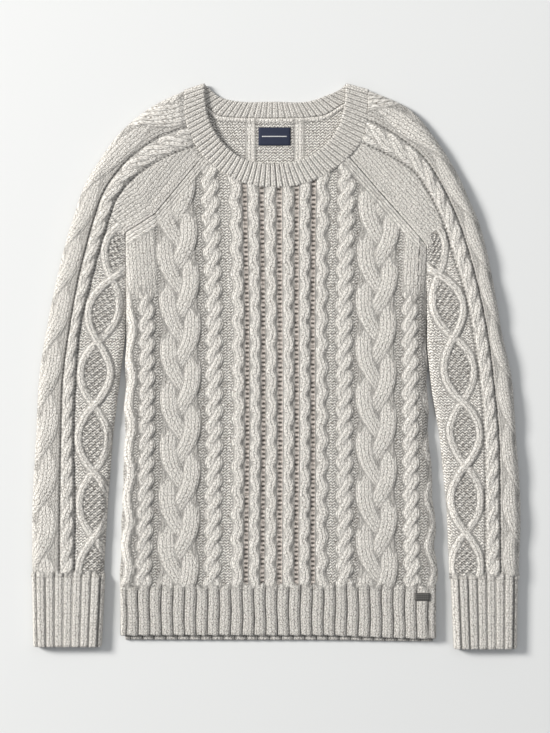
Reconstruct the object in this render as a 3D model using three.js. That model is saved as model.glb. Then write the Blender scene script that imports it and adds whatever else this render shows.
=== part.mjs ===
import * as THREE from "three";

// A crew-neck cable knit sweater with raglan sleeves, laid flat on its back.
// Millimetres. +Z is up from the surface, +Y towards the collar, +X to the viewer's right.
// The cloth is a wall: cables, ribs and the rolled edges raise its outer points over a plain inside.

const BODY_WALL = 3.2;
const SLEEVE_WALL = 3.6;
const BAND_WALL = 3.6;
const CUFF_WALL = 3.6;
const SEAM_GAP = 0.3;
// Step in Y that leaves SEAM_GAP across a seam that runs at 45 degrees
const SLANTED_SEAM_STEP = 0.45;
// The sleeve ends meet the neckband where it bends most, so their seam is a little wider
const NECK_SEAM_GAP = 1;
const SHOULDER_FOLD_GAP = 4.6;

// Heights of the body: its middle, the roll beside each side seam and that roll's radius
const BODY_TOP = 7.6;
const SIDE_TOP = 10.4;
const HEM_SIDE_TOP = 9;
const SIDE_ROLL = 10;
const SIDE_BULGE = 58;
const SIDE_RIM = BODY_WALL + SEAM_GAP;

// Body outline from the hem seam up: left edge, right edge, middle and spread of the cable pattern
const BODY = [
  { y: -325, left: -183, right: 189, middle: 5.5, spread: 1.035 },
  { y: -265, left: -184, right: 189, middle: 5.5, spread: 1.035 },
  { y: -200, left: -182, right: 186.5, middle: 5.5, spread: 1.02 },
  { y: -82, left: -177.5, right: 178.5, middle: 5.3, spread: 1 },
  { y: 60, left: -177, right: 177, middle: 4.8, spread: 0.985 },
  { y: 240, left: -177, right: 177, middle: 3.5, spread: 0.97 },
];

const HEM_SEAM_Y = -265;
const FRONT_HEM = { left: -318.5, middle: -318.5, right: -322.5 };
const BACK_HEM = { left: -324.5, middle: -325, right: -326.5 };

// Raglan seams of the front from the underarm up to the neck corner
const RAGLAN_LEFT = [[-190, 149.5], [-178, 156], [-143, 178], [-87, 246], [-60, 279]];
const RAGLAN_RIGHT = [[60, 276.5], [87.5, 245], [178, 141], [190, 137]];

// Neckband edges on top of the garment, from the right shoulder fold round the front to the left one
const FRONT_FREE_EDGE = [
  [82.5, 332], [80.8, 308], [74.8, 285], [64.3, 267.5], [52, 255.5], [37.3, 246], [17.7, 240], [-1.9, 238],
  [-23, 239.3], [-41.3, 246], [-57.8, 258], [-69.6, 272], [-79.4, 292.8], [-83.2, 311], [-84, 332],
];
const FRONT_SEAM_EDGE = [
  [109.5, 324.5], [109.5, 299], [104.4, 269.6], [92, 251.3], [76, 236.6], [53.7, 221.8], [27, 212.4],
  [-1.2, 209.5], [-30.7, 213], [-55, 221.8], [-75.5, 236.6], [-90.3, 252.5], [-103.8, 278], [-108, 300],
  [-108.5, 324],
];
// The same edges under it, from the left shoulder fold across the back to the right one
const BACK_FREE_EDGE = [[-84, 332], [-76, 325], [-65, 317], [-41, 312], [-2, 312], [37, 312], [60, 319.5],
  [74, 325.5], [82.5, 332]];
const BACK_SEAM_EDGE = [[-108.5, 324], [-93, 314], [-80, 305], [-68, 295.8], [-52, 293.8], [-2, 292.5],
  [39, 293.8], [59, 297], [76, 307.5], [92, 315.5], [109.5, 324.5]];
const BACK_RAGLAN_LEFT = [[-178, 156], [-92, 311.5]];
const BACK_RAGLAN_RIGHT = [[178, 141], [91, 313]];

const NECK_MIDDLE_Y = 290;
// Ribs round the front half of the neckband and round the back half
const BAND_RIBS = { front: 50, back: 28 };
const BAND_RIB_RELIEF = 1.5;
const BAND_TOP = 8.9;

// Body ribs start at the first groove and repeat at this pitch
const HEM_RIB = { first: -176.3, pitch: 13.68, count: 27, relief: 2.6 };

// Sleeve stations from the cuff up: the outer fold, the two grooves beside the rope, and the seam edge.
// Each also has the height of the flattened tube.
const SLEEVE_LEFT = [
  { fold: [-287, -249.5], groove: [-255.5, -249.5], inner: [-238, -249.5], seam: [-204, -249.5], top: 10.8 },
  { fold: [-287, -170], groove: [-255, -170], inner: [-237, -170], seam: [-199.5, -170], top: 11 },
  { fold: [-282.5, -82], groove: [-253.5, -82], inner: [-238.5, -82], seam: [-193, -82], top: 11 },
  { fold: [-278.5, -11], groove: [-251, -13], inner: [-236, -14.5], seam: [-185, -17], top: 11 },
  { fold: [-268, 54], groove: [-242.5, 49], inner: [-230.5, 46.5], seam: [-178.2, 36], top: 11 },
  { fold: [-257, 107], groove: [-233, 101], inner: [-218.5, 96.5], seam: [-178, 86], top: 11 },
  { fold: [-246, 151], groove: [-222, 146], inner: [-206.5, 142], seam: [-178, 131], top: 11 },
  { fold: [-238, 176], groove: [-215, 171], inner: [-198.5, 167], seam: [-178, 156], top: 11 },
  { fold: [-226.5, 210], groove: [-203, 204.5], inner: [-187.5, 197], seam: [-160.5, 167], top: 11 },
  { fold: [-207.5, 242.5], groove: [-185, 231], inner: [-171, 218], seam: [-143, 178], top: 10.8 },
  { fold: [-183, 275], groove: [-166, 250], inner: [-155, 231], seam: [-124, 201.1], top: 10.6 },
  { fold: [-148.5, 303.5], groove: [-136.5, 270], inner: [-127.5, 247], seam: [-103, 226.6], top: 10.2 },
  { fold: [-108.5, 324], groove: [-105, 281.5], inner: [-95, 259], seam: [-87, 246], top: 9.6 },
];
const SLEEVE_RIGHT = [
  { fold: [285.5, -252], groove: [265, -252], inner: [246.5, -252], seam: [205.5, -252], top: 10.8 },
  { fold: [288, -170], groove: [264, -170], inner: [246.5, -170], seam: [202, -170], top: 11 },
  { fold: [282.5, -82], groove: [262.5, -84], inner: [245.5, -85.5], seam: [193.5, -83], top: 11 },
  { fold: [277.5, -15], groove: [256.5, -19.5], inner: [240.5, -22], seam: [184.5, -31], top: 11 },
  { fold: [266.5, 36], groove: [250, 32.5], inner: [233.5, 29], seam: [178.5, 18.5], top: 11 },
  { fold: [257, 91.5], groove: [239.5, 87], inner: [223.5, 82], seam: [178, 71.5], top: 11 },
  { fold: [246.5, 142], groove: [226, 137.5], inner: [208, 131.5], seam: [178, 121], top: 11 },
  { fold: [238.5, 169.5], groove: [217.5, 164], inner: [200, 160], seam: [178, 141], top: 11 },
  { fold: [227.5, 195.5], groove: [206.5, 190], inner: [190, 184], seam: [160, 161.7], top: 11 },
  { fold: [213.5, 226], groove: [192.5, 218], inner: [177, 209], seam: [142, 182.4], top: 10.8 },
  { fold: [191, 262.5], groove: [173.5, 246], inner: [162, 229], seam: [124, 203.1], top: 10.6 },
  { fold: [158, 301.5], groove: [144, 270], inner: [134.5, 247], seam: [106, 223.7], top: 10.2 },
  { fold: [109.5, 324.5], groove: [110, 290], inner: [101.5, 263], seam: [87.5, 245], top: 9.6 },
];
const UNDERARM_STATION = 7;
const SLEEVE_FOLD_RADIUS = 10;
const SLEEVE_SEAM_RADIUS = 9;
// Top of the flattened sleeve beside its seam, lower than at the fold
const SLEEVE_INSIDE_TOP = 8.8;

const CUFF_LEFT = { outer: [-286, -284.5], inner: [-204, -208], top: -249.5, bottom: -332, height: 10.8 };
const CUFF_RIGHT = { outer: [283.5, 282.5], inner: [208, 211.5], top: -252, bottom: -334.5, height: 10.8 };
const CUFF_RIB = { pitch: 10.8, relief: 1.9 };

const LABEL = { x: -1.8, y: 270.8, width: 38, height: 21.5, thickness: 0.9 };
const TAB = { left: 164, right: 181.5, top: -268, bottom: -277, thickness: 1, lift: 3.1 };

// Cable columns. A strand of half width `half` sways `sway` to each side and comes round once a `period`;
// `round` is its height over the ground and `weave` how far it rises and dips where strands cross.
// A plait is filled between its strands up to `filling`.
const WAVE = { strands: 1, sway: 2.4, half: 6.2, period: 28.5, round: 3, weave: 0 };
const INNER_ROPE = { strands: 2, sway: 4, half: 5.4, period: 41, round: 2.8, weave: 0.9 };
const OUTER_ROPE = { strands: 2, sway: 4.6, half: 6, period: 40, round: 2.8, weave: 0.9 };
const PLAIT = { strands: 3, sway: 13, half: 10.5, period: 171, round: 3, weave: 1, filling: 1.6 };
const SIDE_CABLE = { strands: 1, sway: 3, half: 6, period: 57, round: 3, weave: 0 };
const SLEEVE_PLAIT = { strands: 3, sway: 16, half: 12, period: 187, round: 3, weave: 1, filling: 1.6 };
const SLEEVE_ROPE = { strands: 2, sway: 2.6, half: 5.6, period: 66, round: 2.8, weave: 0.9 };
const DIAMOND = { width: 42, half: 5, period: 78.5, round: 3, filling: 1.1 };
const GROUND = 0.5;

// Front columns from the middle outwards, mirrored about it: `at` is the column's middle.
// `start` shifts the pattern along the column, on the left and on the right of the front.
const FRONT_COLUMNS = [
  { cable: WAVE, at: 9.6, start: { left: -83.8, right: -95 } },
  { cable: WAVE, at: 28.8, start: { left: -95, right: -83.8 } },
  { cable: WAVE, at: 48, start: { left: -83.8, right: -95 } },
  { cable: INNER_ROPE, at: 74.8, start: { left: -84, right: -84 } },
  { cable: PLAIT, at: 114.8, start: { left: -84, right: -78 } },
  { cable: OUTER_ROPE, at: 153.5, start: { left: -84, right: -84 } },
  { cable: SIDE_CABLE, at: 176, start: { left: -84, right: -84 } },
];
// Where the patterns of each sleeve start above its cuff
const SLEEVE_STARTS = {
  left: { plait: 20, rope: 6, diamond: 46 },
  right: { plait: 20, rope: 6, diamond: 55 },
};
// Above this station a sleeve is plain knit between its rope and the raglan seam
const KNIT_CAP = { from: 7.1, to: 7.5, height: 1 };
const RAGLAN_BAND = 12;
const NECK_FADE = 3;

// Lines up the front, as places across it and the spacing of the points along each
const FRONT_LINES = [
  { at: 0, step: 30 }, { at: 6.2, step: 7.1 }, { at: 13, step: 7.1 }, { at: 19.2, step: 30 },
  { at: 25.4, step: 7.1 }, { at: 32.2, step: 7.1 }, { at: 38.4, step: 30 }, { at: 44.6, step: 7.1 },
  { at: 51.4, step: 7.1 }, { at: 56, step: 20 }, { at: 65.2, step: 16 }, { at: 70.6, step: 10.25 },
  { at: 74.8, step: 10.25 }, { at: 79, step: 10.25 }, { at: 84.5, step: 16 }, { at: 92, step: 16 },
  { at: 98.5, step: 9.5 }, { at: 106, step: 9.5 }, { at: 114.8, step: 9.5 }, { at: 123.5, step: 9.5 },
  { at: 131, step: 9.5 }, { at: 138, step: 16 }, { at: 143, step: 16 }, { at: 148.5, step: 10 },
  { at: 153.5, step: 10 }, { at: 158.5, step: 10 }, { at: 164, step: 16 },
];
// Lines up the inside of the front and up the back, by their x
const INSIDE_PLACES = [
  -143, -125, -106, -86.3, -74, -60, -45, -30, -15, 0, 15, 30, 45, 60, 75, 88, 107, 126, 145,
];
const BACK_PLACES = [-92, -86, -80, -76, -72, -68, -62, -52, -30, -2, 20, 39, 50, 59, 64, 70, 76, 84, 91];
// The points of the rolled side, by how far round the roll they lie: 1 is its top, 0 the seam
const ROLL_LINES = [1, 0.72, 0.45, 0.2, 0];

function smoothstep(value, low, high) {
  const t = THREE.MathUtils.clamp((value - low) / (high - low), 0, 1);
  return t * t * (3 - 2 * t);
}

// Value on a polyline of [x, y] points at a given x
function heightAt(points, x) {
  let i = 1;
  while (i < points.length - 1 && points[i][0] < x) {
    i += 1;
  }
  const [x0, y0] = points[i - 1];
  const [x1, y1] = points[i];
  return y0 + ((y1 - y0) * (x - x0)) / (x1 - x0);
}

// Row of the body table at a given y, its columns blended linearly
function bodyAt(y) {
  let i = 1;
  while (i < BODY.length - 1 && BODY[i].y < y) {
    i += 1;
  }
  const low = BODY[i - 1];
  const high = BODY[i];
  const t = THREE.MathUtils.clamp((y - low.y) / (high.y - low.y), 0, 1);
  const row = {};
  for (const column of ["left", "right", "middle", "spread"]) {
    row[column] = low[column] + (high[column] - low[column]) * t;
  }
  return row;
}

// Evenly spaced points of the smooth curve through the given ones
function sampleCurve(points, count) {
  const curve = new THREE.CatmullRomCurve3(points.map(([x, y]) => new THREE.Vector3(x, y, 0)));
  return curve.getSpacedPoints(count).map((point) => [point.x, point.y]);
}

const CURVE_SAMPLES = 240;
const frontFree = sampleCurve(FRONT_FREE_EDGE, CURVE_SAMPLES);
const frontSeam = sampleCurve(FRONT_SEAM_EDGE, CURVE_SAMPLES);
const backFree = sampleCurve(BACK_FREE_EDGE, CURVE_SAMPLES);
const backSeam = sampleCurve(BACK_SEAM_EDGE, CURVE_SAMPLES);
// The stretch of the front neck seam that is a plain function of x, left to right
const frontNeck = frontSeam.filter(([, y]) => y < 262).reverse();

// Triangles of one closed body, its points shared
class Body {
  constructor() {
    this.xyz = [];
    this.faces = [];
  }

  id(point) {
    if (point.id === undefined) {
      point.id = this.xyz.length / 3;
      this.xyz.push(point.x, point.y, point.z);
    }
    return point.id;
  }

  // Triangles between two rows of points, walking up both by their keys
  join(rowA, rowB) {
    let a = 0;
    let b = 0;
    while (a < rowA.length - 1 || b < rowB.length - 1) {
      const nextA = a < rowA.length - 1 ? rowA[a + 1].key : Infinity;
      const nextB = b < rowB.length - 1 ? rowB[b + 1].key : Infinity;
      if (nextA <= nextB) {
        this.faces.push(this.id(rowA[a]), this.id(rowB[b]), this.id(rowA[a + 1]));
        a += 1;
      } else {
        this.faces.push(this.id(rowA[a]), this.id(rowB[b]), this.id(rowB[b + 1]));
        b += 1;
      }
    }
  }

  geometry() {
    const geometry = new THREE.BufferGeometry();
    geometry.setAttribute("position", new THREE.Float32BufferAttribute(this.xyz, 3));
    geometry.setIndex(this.faces);
    geometry.computeVertexNormals();
    return geometry;
  }
}

// The same points with a key for walking across the rows instead of along them
function endChain(rows, end) {
  return rows.map((row) => {
    const point = row.points[end === "first" ? 0 : row.points.length - 1];
    return { source: point, key: row.key };
  });
}

// A wall of cloth: outer rows and inner rows, each from one end of the piece to the other.
// Across the rows and then along them, the outer side faces out. A ring has no side rims.
function wall(outer, inner, ring = false) {
  const body = new Body();
  for (let i = 0; i < outer.length - 1; i += 1) {
    body.join(outer[i].points, outer[i + 1].points);
  }
  for (let i = 0; i < inner.length - 1; i += 1) {
    body.join(inner[i + 1].points, inner[i].points);
  }
  const joinChains = (rowsA, rowsB, end) => {
    const chainA = endChain(rowsA, end);
    const chainB = endChain(rowsB, end);
    const proxy = (item) => {
      body.id(item.source);
      return { id: item.source.id, key: item.key };
    };
    body.join(chainA.map(proxy), chainB.map(proxy));
  };
  joinChains(outer, inner, "first");
  joinChains(inner, outer, "last");
  if (!ring) {
    body.join(inner[0].points, outer[0].points);
    body.join(outer[outer.length - 1].points, inner[inner.length - 1].points);
  }
  return body.geometry();
}

// Places along a line: both ends, and every step from a starting place between them
function placesAlong(from, to, step, start = 0) {
  const places = [from];
  const margin = 0.4 * step;
  for (let k = Math.ceil((from - start) / step); start + k * step < to; k += 1) {
    const place = start + k * step;
    if (place > from + margin && place < to - margin) {
      places.push(place);
    }
  }
  places.push(to);
  return places;
}

// Height of a cable over the ground, `across` from its middle and `along` it, upwards
function cableHeight(across, along, cable) {
  let height = Math.abs(across) < cable.sway + cable.half / 2 ? (cable.filling ?? 0) : 0;
  for (let strand = 0; strand < cable.strands; strand += 1) {
    const turn = 2 * Math.PI * (along / cable.period + strand / cable.strands);
    const middle = cable.sway * Math.sin(turn);
    const lift = cable.weave * (cable.strands === 3 ? Math.sin(2 * turn) : Math.cos(turn));
    const reach = 1 - ((across - middle) / cable.half) ** 2;
    if (reach > 0) {
      height = Math.max(height, lift + cable.round * Math.sqrt(reach));
    }
  }
  return height;
}

// Height of the sleeve's diamonds: two strands that part and cross, round a moss stitch filling
function diamondHeight(across, along) {
  const part = (DIAMOND.width / 2 - DIAMOND.half) * Math.abs(Math.sin((Math.PI * along) / DIAMOND.period));
  let height = Math.abs(across) < part ? DIAMOND.filling : 0;
  for (const side of [-1, 1]) {
    const reach = 1 - ((across - side * part) / (DIAMOND.half * 1.25)) ** 2;
    if (reach > 0) {
      height = Math.max(height, DIAMOND.round * Math.sqrt(reach));
    }
  }
  return height;
}

// Height of the roll beside the side seam, which flattens towards the hem
function sideTop(y) {
  return SIDE_TOP + (HEM_SIDE_TOP - SIDE_TOP) * smoothstep(-y, 200, -HEM_SEAM_Y);
}

// Top of the plain body, without cables: rolled up at the sides and low at the side seams
function bodyTop(x, y) {
  const row = bodyAt(y);
  const depth = Math.max(0, Math.min(x - row.left, row.right - x));
  const side = sideTop(y);
  if (depth < SIDE_ROLL) {
    const turn = 1 - depth / SIDE_ROLL;
    return SIDE_RIM + (side - SIDE_RIM) * Math.sqrt(1 - turn * turn);
  }
  return side - (side - BODY_TOP) * smoothstep(depth, SIDE_ROLL, SIDE_BULGE);
}

// Underside of the same wall
function bodyInside(x, y) {
  const row = bodyAt(y);
  const depth = Math.max(0, Math.min(x - row.left, row.right - x) - BODY_WALL);
  const radius = SIDE_ROLL - BODY_WALL;
  if (depth < radius) {
    const side = sideTop(y) - BODY_WALL;
    const turn = 1 - depth / radius;
    return SIDE_RIM + (side - SIDE_RIM) * Math.sqrt(1 - turn * turn);
  }
  return bodyTop(x, y) - BODY_WALL;
}

// Top edge of the front at x: the lower one of the raglan and the neck seam
function frontEdge(x) {
  const raglan = x < 0 ? heightAt(RAGLAN_LEFT, x) : heightAt(RAGLAN_RIGHT, x);
  const neck = Math.abs(x) < 96 ? heightAt(frontNeck, x) : Infinity;
  return Math.min(raglan, neck) - SLANTED_SEAM_STEP;
}

function raglanDistance(x, y) {
  const raglan = x < 0 ? heightAt(RAGLAN_LEFT, x) : heightAt(RAGLAN_RIGHT, x);
  return (raglan - y) * 0.66;
}

function frontRelief(place, x, y) {
  const side = place < 0 ? -1 : 1;
  const across = Math.abs(place);
  let height = GROUND;
  for (const column of FRONT_COLUMNS) {
    const start = side < 0 ? column.start.left : column.start.right;
    height = Math.max(height, cableHeight(side * (across - column.at), y - start, column.cable));
  }
  const fade = smoothstep(raglanDistance(x, y), 2, RAGLAN_BAND);
  const neckFade = smoothstep(frontEdge(x) - y, 0, NECK_FADE);
  return GROUND + (height - GROUND) * fade * (0.5 + 0.5 * neckFade);
}

// Where the top of a straight line up the body lies, found by walking up it
function lineTop(xAt, edge) {
  let y = 150;
  for (let i = 0; i < 12; i += 1) {
    y = edge(xAt(y));
  }
  return y;
}

function frontPanel() {
  const lines = [];
  for (const side of [-1, 1]) {
    for (const line of FRONT_LINES) {
      if (line.at > 0 || side > 0) {
        const place = side * line.at;
        lines.push({ place, step: line.step, x: (y) => bodyAt(y).middle + place * bodyAt(y).spread });
      }
    }
    // A line through the corner between the raglan and the neck, and one through each raglan bend
    for (const [x, y] of side < 0 ? [[-86.3, 246], [-143, 178]] : [[88, 244]]) {
      const place = (x - bodyAt(y).middle) / bodyAt(y).spread;
      lines.push({ place, step: 18, x: (at) => bodyAt(at).middle + place * bodyAt(at).spread });
    }
    for (const turn of ROLL_LINES) {
      const inset = SIDE_ROLL * (1 - Math.cos((turn * Math.PI) / 2));
      const edge = side < 0 ? "left" : "right";
      const place = side * (182 - inset);
      lines.push({ place, step: 14, x: (y) => bodyAt(y)[edge] - side * inset });
    }
  }
  lines.sort((a, b) => a.x(150) - b.x(150));
  const outer = lines.map((line) => {
    const top = lineTop(line.x, frontEdge);
    const points = placesAlong(HEM_SEAM_Y + SEAM_GAP, top, line.step, -84).map((y) => {
      const x = line.x(y);
      return { x, y, z: bodyTop(x, y) + frontRelief(line.place, x, y), key: y };
    });
    return { points, key: line.x(150) };
  });
  const insideDepths = [0, 0.2, 0.5, 1].map((turn) => BODY_WALL + (SIDE_ROLL - BODY_WALL) * turn * turn);
  const insideLines = [];
  for (const side of [-1, 1]) {
    const edge = side < 0 ? "left" : "right";
    for (const depth of insideDepths) {
      insideLines.push((y) => bodyAt(y)[edge] - side * depth);
    }
  }
  for (const x of INSIDE_PLACES) {
    insideLines.push(() => x);
  }
  insideLines.sort((a, b) => a(150) - b(150));
  const inner = insideLines.map((xAt) => {
    const top = lineTop(xAt, frontEdge);
    const points = placesAlong(HEM_SEAM_Y + SEAM_GAP, top, 60).map((y) => {
      const x = xAt(y);
      return { x, y, z: bodyInside(x, y), key: y };
    });
    return { points, key: xAt(150) };
  });
  return wall(outer, inner);
}

// Top edge of the back at x: the back raglans and the back neck seam
function backEdge(x) {
  const raglan = x < 0 ? heightAt(BACK_RAGLAN_LEFT, x) : heightAt(BACK_RAGLAN_RIGHT, x);
  const neck = Math.abs(x) < 105 ? heightAt(backSeam, x) : Infinity;
  return Math.min(raglan, neck) - SLANTED_SEAM_STEP;
}

// A flat plate between a bottom and a top line, with plain faces
function plate(lineFunctions, bottomAt, topAt, step, low, high) {
  const rows = (z) => lineFunctions.map((xAt) => {
    const points = placesAlong(bottomAt(xAt(bottomAt(0))), topAt(xAt), step).map((y) => {
      return { x: xAt(y), y, z, key: y };
    });
    return { points, key: xAt(150) };
  });
  return wall(rows(high), rows(low));
}

function backPanel() {
  const lines = [];
  for (const side of [-1, 1]) {
    const edge = side < 0 ? "left" : "right";
    for (const inset of [0, 12, 30, 50, 70]) {
      lines.push((y) => bodyAt(y)[edge] - side * inset);
    }
  }
  for (const x of BACK_PLACES) {
    lines.push(() => x);
  }
  lines.sort((a, b) => a(150) - b(150));
  return plate(lines, () => HEM_SEAM_Y + SEAM_GAP, (xAt) => lineTop(xAt, backEdge), 60, 0, BODY_WALL);
}

function hemEdge(hem, x) {
  const side = x < 0 ? hem.left : hem.right;
  return hem.middle + (side - hem.middle) * smoothstep(Math.abs(x), 40, 185);
}

// Height of the front hem's ribs at x
function hemRibs(x) {
  const phase = (x - HEM_RIB.first) / HEM_RIB.pitch;
  const fraction = phase - Math.floor(phase);
  return HEM_RIB.relief * Math.sqrt(Math.max(0, 1 - (2 * fraction - 1) ** 2));
}

function frontHem() {
  const top = HEM_SEAM_Y - SEAM_GAP;
  const left = bodyAt(top).left;
  const right = bodyAt(top).right;
  const places = [left, left + 0.7, left + 2.6];
  for (let rib = 0; rib < HEM_RIB.count; rib += 1) {
    for (const fraction of [0, 0.22, 0.5, 0.78]) {
      const x = HEM_RIB.first + (rib + fraction) * HEM_RIB.pitch;
      if (x < right - 3.5) {
        places.push(x);
      }
    }
  }
  places.push(right - 2.6, right - 0.7, right);
  const outer = places.map((x) => {
    const bottom = hemEdge(FRONT_HEM, x);
    const points = [bottom, bottom + 3, top].map((y) => {
      const rounding = y === bottom ? 1.6 : 0;
      return { x, y, z: Math.max(SIDE_RIM + 0.4, bodyTop(x, y) + hemRibs(x) - rounding), key: y };
    });
    return { points, key: x };
  });
  const insidePlaces = [left + BODY_WALL, left + 5, left + SIDE_ROLL, -150, -110, -60, -20, 20, 60, 110, 150,
    right - SIDE_ROLL, right - 5, right - BODY_WALL];
  const inner = insidePlaces.map((x) => {
    const points = [hemEdge(FRONT_HEM, x), top].map((y) => ({ x, y, z: bodyInside(x, y), key: y }));
    return { points, key: x };
  });
  return wall(outer, inner);
}

function backHem() {
  const top = HEM_SEAM_Y - SEAM_GAP;
  const { left, right } = bodyAt(top);
  const places = [0, 0.03, 0.1, 0.25, 0.5, 0.75, 0.9, 0.97, 1];
  const rows = (z) => places.map((t) => {
    const topX = left + (right - left) * t;
    const bottomX = left + 6 + (right - left - 10) * t;
    const points = [
      { x: bottomX, y: hemEdge(BACK_HEM, bottomX), z, key: 0 },
      { x: topX, y: top, z, key: 1 },
    ];
    return { points, key: t };
  });
  return wall(rows(BODY_WALL), rows(0));
}

// Point of a neck seam that lies nearest to x, y, moved square off it, away from the neck, by the gap
function besideSeam(polyline, x, y, gap) {
  let best = [];
  let least = Infinity;
  for (let i = 0; i < polyline.length - 1; i += 1) {
    const [x0, y0] = polyline[i];
    const [x1, y1] = polyline[i + 1];
    const length = Math.hypot(x1 - x0, y1 - y0);
    const t = THREE.MathUtils.clamp(((x - x0) * (x1 - x0) + (y - y0) * (y1 - y0)) / length ** 2, 0, 1);
    const near = [x0 + (x1 - x0) * t, y0 + (y1 - y0) * t];
    const distance = Math.hypot(near[0] - x, near[1] - y);
    if (distance < least) {
      const square = [(y0 - y1) / length, (x1 - x0) / length];
      const away = Math.sign(square[0] * near[0] + square[1] * (near[1] - NECK_MIDDLE_Y));
      least = distance;
      best = [near[0] + square[0] * away * gap, near[1] + square[1] * away * gap];
    }
  }
  return best;
}

// Plan of a sleeve: smooth curves up its stations, straight between them along the seam edge
function sleevePlan(stations, backRaglan) {
  const curves = {};
  for (const name of ["fold", "groove", "inner"]) {
    curves[name] = new THREE.CatmullRomCurve3(
      stations.map((station) => new THREE.Vector3(station[name][0], station[name][1], 0)),
      false,
      "centripetal",
    );
  }
  const last = stations.length - 1;
  const along = (name, s) => {
    const point = curves[name].getPoint(s / last);
    return [point.x, point.y];
  };
  const straight = (name, s) => {
    const i = Math.min(Math.floor(s), last - 1);
    const low = stations[i][name];
    const high = stations[i + 1][name];
    return [low[0] + (high[0] - low[0]) * (s - i), low[1] + (high[1] - low[1]) * (s - i)];
  };
  const top = (s) => {
    const i = Math.min(Math.floor(s), last - 1);
    return stations[i].top + (stations[i + 1].top - stations[i].top) * (s - i);
  };
  const outwards = Math.sign(stations[0].fold[0]);
  // The seam edge of the top, a gap outside the body's edge or the front raglan
  const seam = (s) => {
    const [x, y] = straight("seam", s);
    const raglanPart = smoothstep(s, UNDERARM_STATION - 0.5, UNDERARM_STATION);
    return [x + outwards * 0.9 * (1 - raglanPart), y];
  };
  // The back edge: below the seam down to the underarm, then along the back raglan
  const back = (s) => {
    if (s <= UNDERARM_STATION) {
      return seam(s);
    }
    const t = (s - UNDERARM_STATION) / (last - UNDERARM_STATION);
    const [start, end] = backRaglan;
    return [start[0] + (end[0] - start[0]) * t, start[1] + (end[1] - start[1]) * t];
  };
  return { along, seam, back, top, last, outwards };
}

function blend(a, b, t) {
  return [a[0] + (b[0] - a[0]) * t, a[1] + (b[1] - a[1]) * t];
}

// Length of a sleeve measured up its inner groove, so that cables keep their repeat round the shoulder
function lengthTable(plan) {
  const table = [0];
  const perStation = 8;
  for (let i = 1; i <= plan.last * perStation; i += 1) {
    const [x0, y0] = plan.along("inner", (i - 1) / perStation);
    const [x1, y1] = plan.along("inner", i / perStation);
    table.push(table[i - 1] + Math.hypot(x1 - x0, y1 - y0));
  }
  return {
    total: table[table.length - 1],
    stationAt(length) {
      let i = 1;
      while (i < table.length - 1 && table[i] < length) {
        i += 1;
      }
      return (i - 1 + (length - table[i - 1]) / (table[i] - table[i - 1])) / perStation;
    },
  };
}

const SLEEVE_TOP_LINES = [
  { from: "fold", to: "groove", at: 0.04, turn: 0.35, step: 17 },
  { from: "fold", to: "groove", at: 0.14, turn: 0.62, step: 15 },
  { from: "fold", to: "groove", at: 0.38, step: 12 },
  { from: "fold", to: "groove", at: 0.6, step: 12 },
  { from: "fold", to: "groove", at: 0.82, step: 12 },
  { from: "groove", to: "inner", at: 0, step: 30 },
  { from: "groove", to: "inner", at: 0.3, step: 13 },
  { from: "groove", to: "inner", at: 0.7, step: 13 },
  { from: "inner", to: "seam", at: 0, step: 30 },
  { from: "inner", to: "seam", at: 0.15, step: 13.1 },
  { from: "inner", to: "seam", at: 0.32, step: 13.1 },
  { from: "inner", to: "seam", at: 0.5, step: 13.1 },
  { from: "inner", to: "seam", at: 0.68, step: 13.1 },
  { from: "inner", to: "seam", at: 0.85, step: 15 },
  { from: "inner", to: "seam", at: 0.95, step: 20 },
];

const SLEEVE_INSIDE_LINES = [
  { from: "inner", to: "seam", at: 0.85 },
  { from: "inner", to: "seam", at: 0.5 },
  { from: "inner", to: "seam", at: 0.25 },
  { from: "inner", to: "seam", at: 0 },
  { from: "groove", to: "inner", at: 0.5 },
  { from: "groove", to: "inner", at: 0 },
  { from: "fold", to: "groove", at: 0.75 },
  { from: "fold", to: "groove", at: 0.5 },
  { from: "fold", to: "groove", at: 0.25 },
];

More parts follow.
